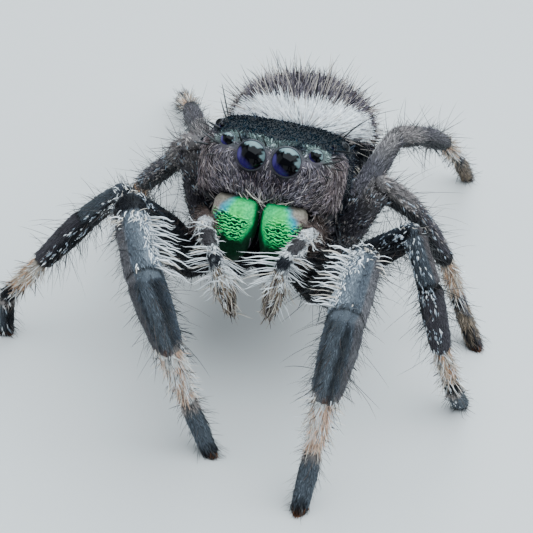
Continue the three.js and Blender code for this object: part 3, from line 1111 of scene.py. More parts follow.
    def nearest(self, points: np.ndarray) -> Places:
        """The skin's corners nearest to some points."""
        found = np.array([self.tree.find(point)[1] for point in points])
        return self.anatomy.describe(self.points[found], self.normals[found], self.part[found])

    def scatter(self, rng: np.random.Generator, density: float, regions: Iterable[Region],
                **where: object) -> Places:
        """Roots spread evenly over some regions.

        Args:
            rng: The source of chance.
            density: Roots on each square millimetre.
            regions: The regions.
            where: The legs' numbers or a side, to keep only those parts.

        Returns:
            The roots.
        """
        wanted = self.anatomy.within(regions)
        for name, values in where.items():
            wanted &= np.isin(self.anatomy.table[name], values)
        areas = self.areas * wanted[self.triangle_part]
        count = int(areas.sum() * density)
        chosen = np.searchsorted(np.cumsum(areas), rng.uniform(0, areas.sum(), count))
        chosen = np.minimum(chosen, len(areas) - 1)
        split = np.sort(rng.uniform(0, 1, (count, 2)), axis=1)
        weights = np.stack([split[:, 0], split[:, 1] - split[:, 0], 1 - split[:, 1]], axis=1)
        corners = self.triangles[chosen]
        points = np.einsum("ij,ijk->ik", weights, self.points[corners])
        normals = unit(np.einsum("ij,ijk->ik", weights, self.normals[corners]))
        return self.anatomy.describe(points, normals, self.triangle_part[chosen])


# ---------------------------------------------------------------- hair


@dataclass(frozen=True)
class Hair:
    """One kind of hair or scale: sizes in millimetres and angles in degrees."""

    length: float
    width: float
    lift: float = 12.0
    curl: float = 8.0
    scatter: float = 18.0
    variety: float = 0.3
    rings: int = 1
    flat: float = 0.6
    wave: float = 0.0
    uneven: float = 0.18
    root_shade: float = 0.75
    stray: float = 1.0


class Coat:
    """One piece of coat: many hairs joined in one mesh, each with its own patch of the unwrap."""

    def __init__(self, name: str, slot: str, parts: np.ndarray, seed: int) -> None:
        """Starts an empty piece.

        Args:
            name: The piece's name.
            slot: The name of a material slot; not used.
            parts: The body parts it grows on, each with a tile of the unwrap.
            seed: Sets the chances of this piece.
        """
        self.name = name
        self.slot = slot
        self.parts = parts
        self.rng = np.random.default_rng(SEED + seed)
        self.corners: list[np.ndarray] = []
        self.faces: list[np.ndarray] = []
        self.tints: list[np.ndarray] = []
        self.roots: list[np.ndarray] = []
        self.count = 0

    def grow(self, roots: Places, hair: Hair, tint: np.ndarray, pull: np.ndarray | None = None,
             size: np.ndarray | float = 1.0) -> None:
        """Grows a hair at each root.

        Args:
            roots: Where the hairs stand.
            hair: Their kind.
            tint: Their colours, one or a row for each.
            pull: What is added to the tip's direction.
            size: A length scale for each.
        """
        count = len(roots)
        if not count:
            return
        rng = self.rng
        tint = np.broadcast_to(tint, (count, 3)) * np.exp(hair.uneven * rng.normal(size=(count, 1)))
        turn = np.radians(rng.normal(0, hair.scatter, count))[:, None]
        side = np.cross(roots.normal, roots.flow)
        way = roots.flow * np.cos(turn) + side * np.sin(turn)
        side = np.cross(roots.normal, way)
        spread = hair.stray * min(0.3 * hair.lift + 2, 9)
        rise = np.radians(hair.lift + rng.normal(0, spread, count))[:, None]
        fall = rise - np.radians(hair.curl * rng.uniform(0.4, 1.6, count))[:, None]
        start = way * np.cos(rise) + roots.normal * np.sin(rise)
        end = way * np.cos(fall) + roots.normal * np.sin(fall)
        if pull is not None:
            end = unit(end + pull)
        length = hair.length * size * np.clip(1 + hair.variety * rng.normal(size=count), 0.35, 1.9)
        width = hair.width * np.clip(1 + 0.2 * rng.normal(size=count), 0.5, 1.6)
        phase = hair.stray * rng.uniform(0, 2 * math.pi, count)
        base = roots.point - roots.normal * ROOT_DEPTH
        rows = [base[:, None]]
        for step in np.linspace(0.12, 0.86, hair.rings) if hair.rings > 1 else [0.45]:
            sway = hair.wave * step * np.sin(phase + 7 * step)
            centre = self.line(base, start, end, length, step) + side * sway[:, None]
            swell = (width / 2 * math.sin(math.pi * (0.2 + 0.8 * step) ** 0.8) ** 0.6)[:, None]
            ahead = unit(start + (end - start) * step)
            across = unit(side - (side * ahead).sum(axis=1, keepdims=True) * ahead)
            over = np.cross(ahead, across)
            ring = [across * swell, -across * swell, over * swell * hair.flat * 1.6]
            rows.append(np.stack([centre + offset for offset in ring], axis=1))
        rows.append(self.line(base, start, end, length, 1.0)[:, None])
        corners = np.concatenate(rows, axis=1)
        tall = corners.shape[1]
        shades = np.linspace(hair.root_shade, 1.08, tall)[None, :, None]
        self.corners.append(corners.reshape(-1, 3))
        self.tints.append((tint[:, None] * shades).reshape(-1, 3))
        self.roots.append(self.patches(roots, tall).reshape(-1, 2))
        pattern = self.pattern(hair.rings)
        offsets = self.count + tall * np.arange(count)[:, None, None]
        self.faces.append((pattern[None] + offsets).reshape(-1, 3))
        self.count += count * tall

    @staticmethod
    def line(base: np.ndarray, start: np.ndarray, end: np.ndarray, length: np.ndarray,
             step: float) -> np.ndarray:
        """The point a share of the way along each hair."""
        return base + length[:, None] * (step * start + step * step / 2 * (end - start))

    @staticmethod
    def pattern(rings: int) -> np.ndarray:
        """The triangles of one hair: root, rings of three, tip."""
        faces = [[0, 1 + (i + 1) % 3, 1 + i] for i in range(3)]
        for ring in range(rings - 1):
            low, high = 1 + 3 * ring, 4 + 3 * ring
            for i in range(3):
                j = (i + 1) % 3
                faces += [[low + i, low + j, high + i], [low + j, high + j, high + i]]
        last = 3 * rings - 2
        faces += [[last + i, last + (i + 1) % 3, 3 * rings + 1] for i in range(3)]
        return np.array(faces)

    def patches(self, roots: Places, tall: int) -> np.ndarray:
        """Each hair's patch of the bake map, as a tile for each part and a place within it."""
        tiles = math.ceil(math.sqrt(len(self.parts)))
        index = np.searchsorted(self.parts, roots.part)
        corner = np.stack([index % tiles, index // tiles], axis=1)
        inner = np.clip(roots.unwrap, 0, 1) * (1 - 2 * PATCH * tiles) + PATCH * tiles
        centre = (corner + inner) / tiles
        angles = np.linspace(0, 2 * math.pi, tall, endpoint=False)
        ring = np.stack([np.cos(angles), np.sin(angles)], axis=1) * PATCH / 2
        return centre[:, None] + ring[None]

    def finish(self, material: bpy.types.Material) -> bpy.types.Object:
        """Joins the hairs in one mesh.

        Args:
            material: The piece's material.

        Returns:
            The piece's object.
        """
        corners = np.concatenate(self.corners)
        corners[:, 2] = np.maximum(corners[:, 2], FLOOR_GAP)
        faces = np.concatenate(self.faces).astype(np.int32)
        if len(faces) > MOST_TRIANGLES:
            raise ValueError(f"{self.name} has {len(faces)} triangles")
        mesh = bpy.data.meshes.new(self.name)
        mesh.vertices.add(len(corners))
        mesh.vertices.foreach_set("co", corners.ravel())
        mesh.loops.add(faces.size)
        mesh.loops.foreach_set("vertex_index", faces.ravel())
        mesh.polygons.add(len(faces))
        mesh.polygons.foreach_set("loop_start", np.arange(0, faces.size, 3, dtype=np.int32))
        mesh.update(calc_edges=True)
        layer = mesh.uv_layers.new(name=BAKE_MAP)
        layer.uv.foreach_set("vector", np.concatenate(self.roots)[faces.ravel()].ravel())
        set_tint(mesh, np.concatenate(self.tints))
        return finish_piece(mesh, self.name, material)


@dataclass(frozen=True)
class Seta:
    """One long bristle of the head's left side, in the head's frame; its fellow is mirrored."""

    place: tuple
    way: tuple
    length: float


SETAE = (
    Seta((1.48, -0.36, 1.02), (0.35, 0.2, 0.9), 0.95),
    Seta((1.26, -1.45, 1.03), (0.5, 0.3, 0.8), 0.9),
    Seta((1.4, -1.8, 0.97), (0.9, 0.0, 0.35), 0.7),
    Seta((1.46, -2.1, 0.85), (0.9, -0.3, 0.3), 0.5),
    Seta((1.28, -2.45, 0.7), (0.85, -0.2, 0.45), 0.65),
    Seta((1.5, -2.25, 0.6), (1.0, 0.0, 0.1), 0.45),
    Seta((1.33, -2.5, 0.45), (0.9, -0.4, 0.0), 0.35),
    Seta((0.78, -2.5, 1.0), (0.25, -0.5, 0.8), 0.35),
    Seta((0.1, -2.55, 1.0), (0.15, -0.6, 0.8), 0.3),
    Seta((1.6, -1.2, 0.75), (0.9, 0.1, 0.4), 0.5),
)


@dataclass(frozen=True)
class Plume:
    """The white hairs down both sides of one palp segment, in millimetres and shares."""

    segment: str
    radius: float
    count: int
    end: float
    outer: float
    inner: float
    high: float
    low: float


PLUMES = (
    Plume("patella", 0.3, 8, 0.95, outer=0.45, inner=0.55, high=0.35, low=-0.05),
    Plume("tibia", 0.27, 10, 0.95, outer=0.85, inner=1.05, high=0.2, low=-0.15),
    Plume("tip", 0.26, 9, 0.5, outer=0.8, inner=0.55, high=-0.25, low=-1.0),
)


@dataclass
class Groom:
    """All the coat, area by area."""

    anatomy: Anatomy
    markings: Markings
    skin: Skin
    coats: list[Coat] = field(default_factory=list)

    def piece(self, name: str, slot: str, regions: Iterable[Region]) -> Coat:
        """Starts a piece of coat over some regions."""
        coat = Coat(name, slot, np.flatnonzero(self.anatomy.within(regions)), len(self.coats))
        self.coats.append(coat)
        return coat

    def lay(self, coat: Coat, density: float, regions: Iterable[Region], hair: Hair,
            tint: Callable[[Places], np.ndarray] | dict[Tone, float],
            thin: Callable[[Places], np.ndarray] | None = None,
            pull: Callable[[Places], np.ndarray] | None = None,
            size: Callable[[Places], np.ndarray] | None = None,
            aim: Callable[[Places], np.ndarray] | None = None, **where: object) -> None:
        """Grows one kind of hair over some regions.

        Args:
            coat: The piece that takes it.
            density: Roots on each square millimetre.
            regions: The regions.
            hair: The kind of hair.
            tint: Its colours, from the place, or tones drawn by chance with their shares.
            thin: The share that stays, from the place.
            pull: What is added to the tips' direction, from the place.
            size: A length scale, from the place.
            aim: The way the hairs stand, from the place, instead of their roots' normal.
            where: The legs' numbers or a side, to keep only those parts.
        """
        roots = self.skin.scatter(coat.rng, density, regions, **where)
        if thin is not None:
            roots = roots.keep(coat.rng.uniform(size=len(roots)) < thin(roots))
        tones = self.picked(coat, len(roots), tint) if isinstance(tint, dict) else tint(roots)
        if aim is not None:
            roots = self.aimed(roots, aim(roots))
        rules = {"pull": pull, "size": size}
        coat.grow(roots, hair, tones, **{name: rule(roots) for name, rule in rules.items() if rule})

    @staticmethod
    def aimed(roots: Places, ways: np.ndarray) -> Places:
        """The same roots, standing along other directions."""
        ways = unit(ways)
        return replace(roots, normal=ways, flow=unit(np.cross(ways, [0.0, 0.0, 1.0])))

    def picked(self, coat: Coat, count: int, tones: dict[Tone, float]) -> np.ndarray:
        """Colours drawn by chance from a few tones with their shares."""
        colours = np.array([tone.rgb for tone in tones])
        shares = np.array(list(tones.values()))
        return colours[coat.rng.choice(len(colours), count, p=shares / shares.sum())]

    def flecked(self, coat: Coat, tones: dict[Tone, float], share: float) -> Callable[[Places], np.ndarray]:
        """A rule for tones drawn by chance that keep the ground's own lights and darks.

        Args:
            coat: The piece, for its chances.
            tones: The tones with their shares.
            share: How much the tones count against the ground.

        Returns:
            The rule.
        """
        def tint(places: Places) -> np.ndarray:
            """Ground and drawn tone together."""
            drawn = self.picked(coat, len(places), tones)
            return self.markings.colour(places) ** (1 - share) * drawn**share

        return tint

    def clear_of_eyes(self, places: Places) -> np.ndarray:
        """1 where a place of the head is outside every eye, and 0 within."""
        free = np.ones(len(places))
        for eye, radius in self.anatomy.eyes():
            free *= np.linalg.norm(places.local - eye, axis=1) > radius + 0.035
        return free

    def head(self) -> None:
        """Short swirling fur on the face, fine scales on the crown, a pale brow and bristles."""
        coat = self.piece("coat_head", "carapace", [Region.CARAPACE, Region.UNDERSIDE, Region.WAIST])
        area, colour, middle = [Region.CARAPACE], self.markings.colour, self.anatomy.head.axes
        face, brow, clear = self.markings.face, self.markings.brow, self.clear_of_eyes
        fleck = self.flecked(coat, {Tone.STONE: 4, Tone.ASH: 3, Tone.TAUPE: 2, Tone.INK: 3}, 0.7)
        self.lay(coat, 430, area, Hair(0.14, 0.02, lift=7, scatter=20, uneven=0.6), colour,
                 lambda p: clear(p) * face(p) * (1 - brow(p)) * ease(p.z, -0.58, -0.48))
        self.lay(coat, 330, area, Hair(0.2, 0.02, lift=7, scatter=20, rings=2, uneven=0.4), fleck,
                 lambda p: clear(p) * face(p) * (1 - brow(p)) * ease(p.z, -0.6, -0.45))
        self.lay(coat, 480, area, Hair(0.08, 0.026, lift=14, scatter=30, uneven=0.5), colour,
                 lambda p: clear(p) * (1 - face(p)) * ease(p.up, -0.2, 0.2))
        self.lay(coat, 300, area, Hair(0.14, 0.02, lift=8, scatter=16, uneven=0.3), colour,
                 lambda p: clear(p) * (1 - face(p)) * ease(p.up, 0.2, -0.2))
        self.lay(coat, 300, area, Hair(0.13, 0.036, lift=16, scatter=24, uneven=0.5), colour,
                 lambda p: clear(p) * ease(brow(p), 0.1, 0.6))
        self.lay(coat, 45, area, Hair(0.26, 0.018, lift=20, scatter=18, rings=2),
                 {Tone.COAL: 2, Tone.SLATE: 1}, lambda p: clear(p) * (1 - face(p)) * ease(p.y, -1.0, -0.3))
        self.lay(coat, 60, area, Hair(0.5, 0.022, lift=22, scatter=14, rings=3),
                 {Tone.STONE: 2, Tone.CREAM: 1},
                 lambda p: face(p) * (np.abs(p.x) < 0.9) * ease(p.z, -0.15, -0.3) * ease(p.z, -0.56, -0.5),
                 pull=lambda p: np.stack([-1.2 * np.sign(p.x), 0 * p.along, 0.5 + 0 * p.along], 1) @ middle)
        self.lay(coat, 160, area, Hair(0.75, 0.018, lift=90, curl=30, scatter=60, rings=5, wave=0.05),
                 {Tone.ASH: 2, Tone.COAL: 1},
                 lambda p: (np.abs(p.x) < 0.12) * (p.y < -2.0) * ease(p.z, -0.45, -0.55),
                 aim=lambda p: np.tile(np.array([0.0, -0.35, -1.0]) @ middle, (len(p), 1)))
        self.lay(coat, 20, area, Hair(0.3, 0.022, lift=18, scatter=20, rings=3),
                 {Tone.STONE: 2, Tone.ASH: 1},
                 lambda p: (np.abs(p.x) > 1.1) * ease(p.z, -0.3, -0.55) * ease(p.y, -0.8, -1.1))
        self.lay(coat, 130, [Region.UNDERSIDE, Region.WAIST], Hair(0.2, 0.022, lift=18),
                 {Tone.COAL: 2, Tone.SLATE: 1})
        coat.finish(self.fur)
        self.setae()

    def setae(self) -> None:
        """The long black bristles round the eyes."""
        coat = self.piece("head_bristles", "bristle", [Region.CARAPACE])
        head = self.anatomy.head
        for sign in SIDES.values():
            mirror = np.array([sign, 1, 1])
            roots = self.skin.nearest(head.world(np.array([seta.place for seta in SETAE]) * mirror))
            ways = (np.array([seta.way for seta in SETAE]) * mirror) @ head.axes
            roots = self.aimed(roots, ways)
            sizes = np.array([seta.length for seta in SETAE])
            kind = Hair(1.0, 0.045, lift=90, curl=22, variety=0.08, rings=4, scatter=40, root_shade=1.0)
            coat.grow(roots, kind, Tone.INK.rgb, size=sizes)
        coat.finish(self.bristle)

    def abdomen(self) -> None:
        """White strands on the front band, brown-grey fuzz behind and long standing hairs."""
        area, colour, band = [Region.ABDOMEN, Region.SPINNERETS], self.markings.colour, self.markings.band
        coat = self.piece("coat_abdomen", "abdomen", area)
        self.lay(coat, 400, area, Hair(0.28, 0.024, lift=15, scatter=16), colour)
        coat.finish(self.fur)
        long = self.piece("coat_abdomen_long", "bristle", area)
        back = [Region.ABDOMEN]
        strand = Hair(0.42, 0.03, lift=7, curl=2, scatter=5, rings=2, uneven=0.15, root_shade=0.9)
        self.lay(long, 620, back, strand, {Tone.SNOW: 8, Tone.STONE: 0.5, Tone.ASH: 0.4}, band)
        self.lay(long, 110, back, Hair(0.4, 0.02, lift=38, curl=20, rings=2),
                 {Tone.ASH: 3, Tone.UMBER: 1, Tone.STONE: 3, Tone.SOOT: 1},
                 lambda p: ease(p.y, 1.5, 0.0) * (1 - band(p)) * ease(p.z, -0.6, 0.2))
        self.lay(long, 13, back, Hair(0.8, 0.016, lift=62, curl=25, rings=3),
                 {Tone.CREAM: 1.2, Tone.STONE: 1, Tone.SOOT: 2.5}, lambda p: 1 - 0.8 * band(p))
        long.finish(self.fur)

    def legs(self) -> None:
        """The satin coat of the legs, white scale rows, pale shag and standing bristles."""
        colour = self.markings.colour
        upper = [Region.FEMUR, Region.PATELLA, Region.TIBIA]
        satin = Hair(0.16, 0.018, lift=6, curl=3, scatter=8, uneven=0.2)
        fuzz = Hair(0.22, 0.022, lift=12, scatter=16, uneven=0.3)
        scale = Hair(0.13, 0.036, lift=13, curl=10, scatter=10)
        for numbers, hair, density in (([1], satin, 430), ([2], satin, 430), ([3, 4], fuzz, 230)):
            coat = self.piece("coat_legs_" + "".join(map(str, numbers)), "leg", LIMB_REGIONS)
            self.lay(coat, density, LIMB_REGIONS, hair, colour, size=self.short_of_joint, number=numbers)
            if numbers[0] < 3:
                self.lay(coat, 300, upper, scale, {Tone.SNOW: 2, Tone.STEEL: 3}, self.scale_rows,
                         number=numbers)
            if numbers == [2]:
                self.lay(coat, 150, [Region.METATARSUS, Region.TARSUS],
                         Hair(0.17, 0.036, lift=11, scatter=10), {Tone.SNOW: 3, Tone.STEEL: 2},
                         self.scale_rows, number=numbers)
            if 3 in numbers:
                self.lay(coat, 150, upper, Hair(0.16, 0.038, lift=14, curl=10, scatter=16),
                         {Tone.STONE: 2, Tone.STEEL: 1},
                         lambda p: ease(p.front + p.up, 0.2, 0.8) * ease(ripple(p.point, 0.5, 6), -0.4, 0.4),
                         number=[3])
            coat.finish(self.hair)
        shag = self.piece("coat_metatarsi", "pale_leg", LIMB_REGIONS)
        self.lay(shag, 210, [Region.METATARSUS],
                 Hair(0.26, 0.02, lift=18, scatter=16, rings=2, root_shade=0.95), colour,
                 size=self.short_of_joint)
        self.lay(shag, 75, [Region.METATARSUS], Hair(0.38, 0.016, lift=44, curl=20, scatter=25, rings=3),
                 {Tone.CREAM: 2, Tone.SNOW: 2, Tone.TAN: 0.5}, lambda p: ease(p.along, 0.85, 0.7))
        self.lay(shag, 120, [Region.TARSUS], Hair(0.18, 0.02, lift=16, scatter=14), colour)
        self.lay(shag, 120, [Region.TARSUS], Hair(0.16, 0.022, lift=20, scatter=30),
                 {Tone.SOOT: 3, Tone.RUST: 1}, lambda p: ease(p.along, 0.85, 0.95))
        shag.finish(self.hair)
        bristles = self.piece("leg_bristles", "bristle", LIMB_REGIONS)
        dark = {Tone.INK: 3, Tone.SOOT: 1, Tone.UMBER: 0.6}
        fine = Hair(0.32, 0.0125, lift=56, curl=22, rings=3, scatter=25, variety=0.4)
        self.lay(bristles, 42, LIMB_REGIONS, fine, dark)
        self.lay(bristles, 60, upper, replace(fine, length=0.5, lift=62), dark,
                 lambda p: ease(p.up, 0.1, -0.3), number=[2])
        self.lay(bristles, 9, upper, replace(fine, length=0.75, lift=66, rings=4), dark)
        self.spines(bristles)
        bristles.finish(self.bristle)

    def short_of_joint(self, places: Places) -> np.ndarray:
        """A length scale that keeps hair off the joint at the far end of its segment."""
        near = (1 - places.along) * places.length / JOINT_REACH
        return np.where(places.region < Region.TARSUS, np.clip(near, 0.3, 1), 1)

    def spines(self, coat: Coat) -> None:
        """Strong spines in pairs under the tibiae and metatarsi."""
        places, ways = [], []
        for part in self.anatomy.parts:
            if part.region not in (Region.TIBIA, Region.METATARSUS):
                continue
            for share in (0.3, 0.6, 0.88):
                for side in (-1, 1):
                    places.append(part.world([0.22 * side, share * part.length, -0.3]))
                    ways.append(np.array([0.45 * side, 0.75, -0.55]) @ part.axes)
        roots = self.aimed(self.skin.nearest(np.array(places)), np.array(ways))
        spine = Hair(0.42, 0.036, lift=90, curl=10, rings=3, variety=0.15, root_shade=1.0)
        coat.grow(roots, spine, Tone.INK.rgb)

    def scale_rows(self, places: Places) -> np.ndarray:
        """White scales in broken rows on the front and lower sides of the black legs."""
        front, up, thighs = places.front, places.up, places.region == Region.FEMUR
        high = np.where(places.side > 0, 1.1, 0.4)
        low = ease(up, high + 0.12, high) * ease(up, -0.75, -0.5) * ease(front, -0.1, 0.1)
        thigh = np.where(thighs, ease(places.along, 0.6, 0.9), 1.0)
        rows = ease(np.sin(13 * np.arctan2(front, up) + ripple(places.point, 0.6, 5)), -0.3, 0.4)
        rows = rows * ease(ripple(places.point, 0.5, 6), -0.9, -0.1)
        return low * thigh * rows * (thighs | (places.number != 1))

    def row(self, coat: Coat, name: str, place: tuple, along: np.ndarray, way: tuple, hair: Hair,
            droop: float) -> None:
        """Grows a row of evenly spaced white hairs along one part.

        Args:
            coat: The piece that takes it.
            name: The part.
            place: The row's place across the part.
            along: Each hair's share of the part's length.
            way: Which way the hairs stand, as three parts that are one number or one for each.
            hair: The kind of hair.
            droop: How far the tips are drawn down.
        """
        part = next(part for part in self.anatomy.parts if part.name == name)
        spots = np.stack(np.broadcast_arrays(place[0], along * part.length, place[1]), axis=1)
        spots = spots + coat.rng.normal(0, 0.015, spots.shape)
        ways = np.stack(np.broadcast_arrays(*way), axis=1)
        roots = self.aimed(self.skin.nearest(part.world(spots)), ways)
        tones = self.picked(coat, len(along), {Tone.SNOW: 5, Tone.CREAM: 1})
        coat.grow(roots, hair, tones, pull=np.array([0.0, 0.0, -droop]))

    def fringes(self) -> None:
        """The long white hairs along the inner edge of each front knee, and the curls on its cap."""
        coat = self.piece("leg_fringes", "white_hair", LIMB_REGIONS)
        knee, numbers = [Region.PATELLA], [1]
        comb = Hair(1.0, 0.04, lift=90, curl=0, rings=5, wave=0.05, flat=0.4, variety=0.12, stray=0.5,
                    root_shade=0.6)
        for side, high, low, length in (("right", 0.36, -0.12, 0.7), ("left", 0.4, 0.1, 0.6)):
            for count, front, up, size in ((17, 0.42, 0.14, 1.0), (14, 0.36, 0.28, 0.8)):
                along = np.linspace(KNEE_START[side] + 0.05, 0.95, count)
                self.row(coat, f"leg_1_{side}_patella", (front, up), along,
                         (-0.96 * SIDES[side], -0.1, high + (low - high) * along),
                         replace(comb, length=length * size), 0.22)
        curls = Hair(0.3, 0.036, lift=66, curl=60, scatter=45, rings=3, wave=0.03)
        scales = Hair(0.17, 0.04, lift=16, curl=16, scatter=24, rings=2)
        pale = {Tone.SNOW: 2, Tone.CREAM: 1.4}
        for side, start in KNEE_START.items():
            here = {"number": numbers, "side": SIDES[side]}
            self.lay(coat, 105, knee, curls, pale,
                     lambda p, start=start: ease(p.along, start - 0.04, start)
                     * ease(p.along, start + 0.24, start + 0.05) * ease(p.up, 0.0, 0.3), **here)
            self.lay(coat, 260, knee, scales, {Tone.SNOW: 3, Tone.STEEL: 1},
                     lambda p, start=start: np.maximum(
                         ease(p.front, 0.6, 0.8), ease(p.along, 0.5, 0.25) * ease(p.front, 0.05, 0.3))
                     * ease(p.up, -0.1, 0.15) * ease(p.along, 0.94, 0.85) * (p.along > start), **here)
        self.lay(coat, 60, [Region.FEMUR], replace(curls, length=0.22, width=0.03, lift=40), pale,
                 lambda p: ease(p.along, 0.9, 0.96) * ease(p.up, -0.1, 0.3), number=[1, 2])
        self.lay(coat, 130, [Region.TIBIA], replace(scales, lift=30), pale,
                 lambda p: ease(p.along, 0.86, 0.92) * ease(np.abs(p.front), 0.3, 0.55), number=numbers)
        self.lay(coat, 60, knee, replace(scales, lift=30), pale,
                 lambda p: ease(np.abs(p.along - 0.93), 0.05, 0.02)
                 * ease(np.abs(p.front + 0.15), 0.35, 0.15))
        coat.finish(self.hair)

    def palps(self) -> None:
        """The palps' coat and their long flat white fringes."""
        coat = self.piece("coat_palps", "palp", PALP_REGIONS)
        colour, white = self.markings.colour, {Tone.SNOW: 4, Tone.CREAM: 1}
        self.lay(coat, 380, PALP_REGIONS, Hair(0.14, 0.02, lift=12, scatter=16), colour)
        self.lay(coat, 130, [Region.PALP_ROOT, Region.PALP_FEMUR],
                 Hair(0.3, 0.02, lift=32, scatter=26, rings=2),
                 {Tone.TAUPE: 2, Tone.STONE: 1.2, Tone.UMBER: 2, Tone.SOOT: 1},
                 lambda p: ease(p.along, 0.9, 0.6))
        cap = Hair(0.2, 0.036, lift=28, curl=30, scatter=36, rings=2)
        self.lay(coat, 170, [Region.PALP_FEMUR], cap, white,
                 lambda p: ease(p.along, 0.7, 0.88) * ease(p.up, 0.2, 0.6))
        self.lay(coat, 120, [Region.PALP_PATELLA, Region.PALP_TIBIA], replace(cap, length=0.11, lift=18),
                 white, lambda p: colour(p)[:, 0] > 0.5)
        self.lay(coat, 260, [Region.PALP_TIP], cap, white,
                 lambda p: ease(p.along, 0.28, 0.2) * ease(p.along, 0.02, 0.06))
        self.lay(coat, 260, [Region.PALP_TIP], Hair(0.36, 0.024, lift=9, scatter=8, rings=3, wave=0.02),
                 {Tone.TAN: 2, Tone.CREAM: 1.6, Tone.STONE: 1.8, Tone.UMBER: 1.6, Tone.SOOT: 0.8})
        coat.finish(self.hair)
        fringe = self.piece("palp_fringes", "white_hair", PALP_REGIONS)
        hair = Hair(0.8, 0.03, lift=90, curl=0, rings=5, wave=0.05, flat=0.4, variety=0.14, stray=0.6,
                    root_shade=0.5)
        for plume in PLUMES:
            along = np.linspace(0.05, plume.end, plume.count)
            rise = np.linspace(plume.high, plume.low, plume.count)
            for side, sign in SIDES.items():
                for out, length in ((1, plume.outer), (-1, plume.inner)):
                    for up in (0.12, -0.06):
                        self.row(fringe, f"palp_{side}_palp_{plume.segment}", (out * plume.radius, up), along,
                                 (0.95 * out * sign, -0.25, rise), replace(hair, length=length), 0.3)
        self.lay(fringe, 60, [Region.PALP_FEMUR], replace(hair, length=0.42, lift=62, curl=20), white,
                 lambda p: ease(p.along, 0.7, 0.85) * ease(p.front, -0.3, -0.6))
        fringe.finish(self.hair)

    def build(self) -> None:
        """Grows the whole coat."""
        self.hair = COAT.material()
        self.fur = FUR.material()
        self.bristle = BRISTLE.material()
        self.head()
        self.abdomen()
        self.legs()
        self.fringes()
        self.palps()


# ---------------------------------------------------------------- eyes and jaws


@dataclass(frozen=True)
class EyeSizes:
    """The lenses and their rims, as shares of a lens's radius, and the ways they and their tints look, with
    the ways of the painted reflections on the front lenses.
    """

    rim: float = 0.06
    rim_place: float = 0.3
    gaze: dict = field(default_factory=lambda: {
        "front_middle": (0.05, -1.0, 0.1),
        "front_side": (0.35, -0.9, 0.25),
        "small": (0.85, -0.1, 0.55),
        "rear": (0.85, -0.1, 0.55),
    })
    violet: tuple = (-0.55, -0.5, -0.65)
    lilac: tuple = (-0.9, -0.45, 0.2)
    sky: tuple = (0.1, 0.45, 0.88)
    strip: tuple = (0.9, -0.35, 0.25)


class Eyes:
    """Eight glossy lenses, each in its dark rim."""

    def __init__(self, anatomy: Anatomy, sizes: EyeSizes) -> None:
        """Builds the lenses and rims.

        Args:
            anatomy: The spider's parts.
            sizes: How they are made.
        """
        self.anatomy = anatomy
        self.sizes = sizes
        self.lens = LENS.material()
        self.rims = bmesh.new()
        for name in EYES:
            place, side = name.rsplit("_", 1)
            self.build(f"eye_{name}")
            outward = unit(np.array(sizes.gaze[place]) * [SIDES[side], 1, 1])
            self.rim(box_centre(f"eye_{name}"), outward @ anatomy.head.axes, box_radius(f"eye_{name}"))
        bmesh.ops.recalc_face_normals(self.rims, faces=self.rims.faces)
        mesh = to_mesh(self.rims, "eye_rims")
        set_tint(mesh, painted(len(mesh.vertices), Tone.RIM))
        finish_piece(mesh, "eye_rims", BRISTLE.material())

    def build(self, node: str) -> None:
        """Makes one lens in place of its node, painting a pale reflection of the sky and a side strip onto
        each front lens.
        """
        centre, radius = box_centre(node), box_radius(node)
        shape = bmesh.new()
        bmesh.ops.create_uvsphere(shape, u_segments=48, v_segments=32, radius=radius)
        bmesh.ops.translate(shape, verts=shape.verts, vec=Vector(centre))
        mesh = to_mesh(shape, node)
        facing, sizes = unit(corners_of(mesh) - centre), self.sizes
        wander = 0.06 * ripple(facing, 0.3, 13)

        def toward(way: tuple) -> np.ndarray:
            """How much each corner faces a way."""
            return facing @ unit(np.array(way))

        layers = [(Tone.VIOLET, ease(toward(sizes.violet), 0.45, 0.8))]
        if "front" in node:
            # Painted reflection: a pale sky patch over the top of each front lens and a pale strip at its
            # side.
            sky = ease(toward(sizes.sky) + wander, 0.55, 0.63)
            strip = ease(toward(sizes.strip) + wander, 0.9, 0.94)
            layers.append((Tone.LILAC, 0.6 * ease(toward(sizes.lilac), 0.88, 0.97)))
            layers.append((Tone.SKY, np.maximum(0.6 * sky, 0.45 * strip) * ease(facing[:, 1], 0.5, -0.2)))
        tone = painted(len(facing), Tone.PUPIL, *layers)
        set_tint(mesh, tone)
        finish_piece(mesh, f"lens_{node[4:]}", self.lens, [node])

    def rim(self, centre: np.ndarray, outward: np.ndarray, radius: float) -> None:
        """Adds a thin ring where a lens leaves the head.

        Args:
            centre: The lens's centre.
            outward: The way it looks.
            radius: Its radius.
        """
        thick = self.sizes.rim * radius
        rise = self.sizes.rim_place * radius
        reach = math.sqrt(radius**2 - rise**2) + 0.4 * thick
        axis = Vector(outward)
        across = axis.orthogonal().normalized()
        middle = Vector(centre) + axis * rise
        turn = Matrix((across, axis, across.cross(axis))).transposed().to_4x4()
        place = Matrix.Translation(middle + across * reach) @ turn
        made = bmesh.ops.create_circle(self.rims, segments=8, radius=thick, matrix=place)
        edges = list({edge for vert in made["verts"] for edge in vert.link_edges})
        bmesh.ops.spin(self.rims, geom=made["verts"] + edges, cent=middle, axis=axis, angle=2 * math.pi,
                       steps=40, use_merge=True)


@dataclass(frozen=True)
class JawSizes:
    """The jaws' surface, in millimetres, and where their folds are, as shares down them."""

    voxel: float = 0.028
    smoothing: int = 22
    folds_from: float = 0.16
    folds_full: float = 0.34
    fang_length: float = 0.5
    fang_thick: float = 0.075


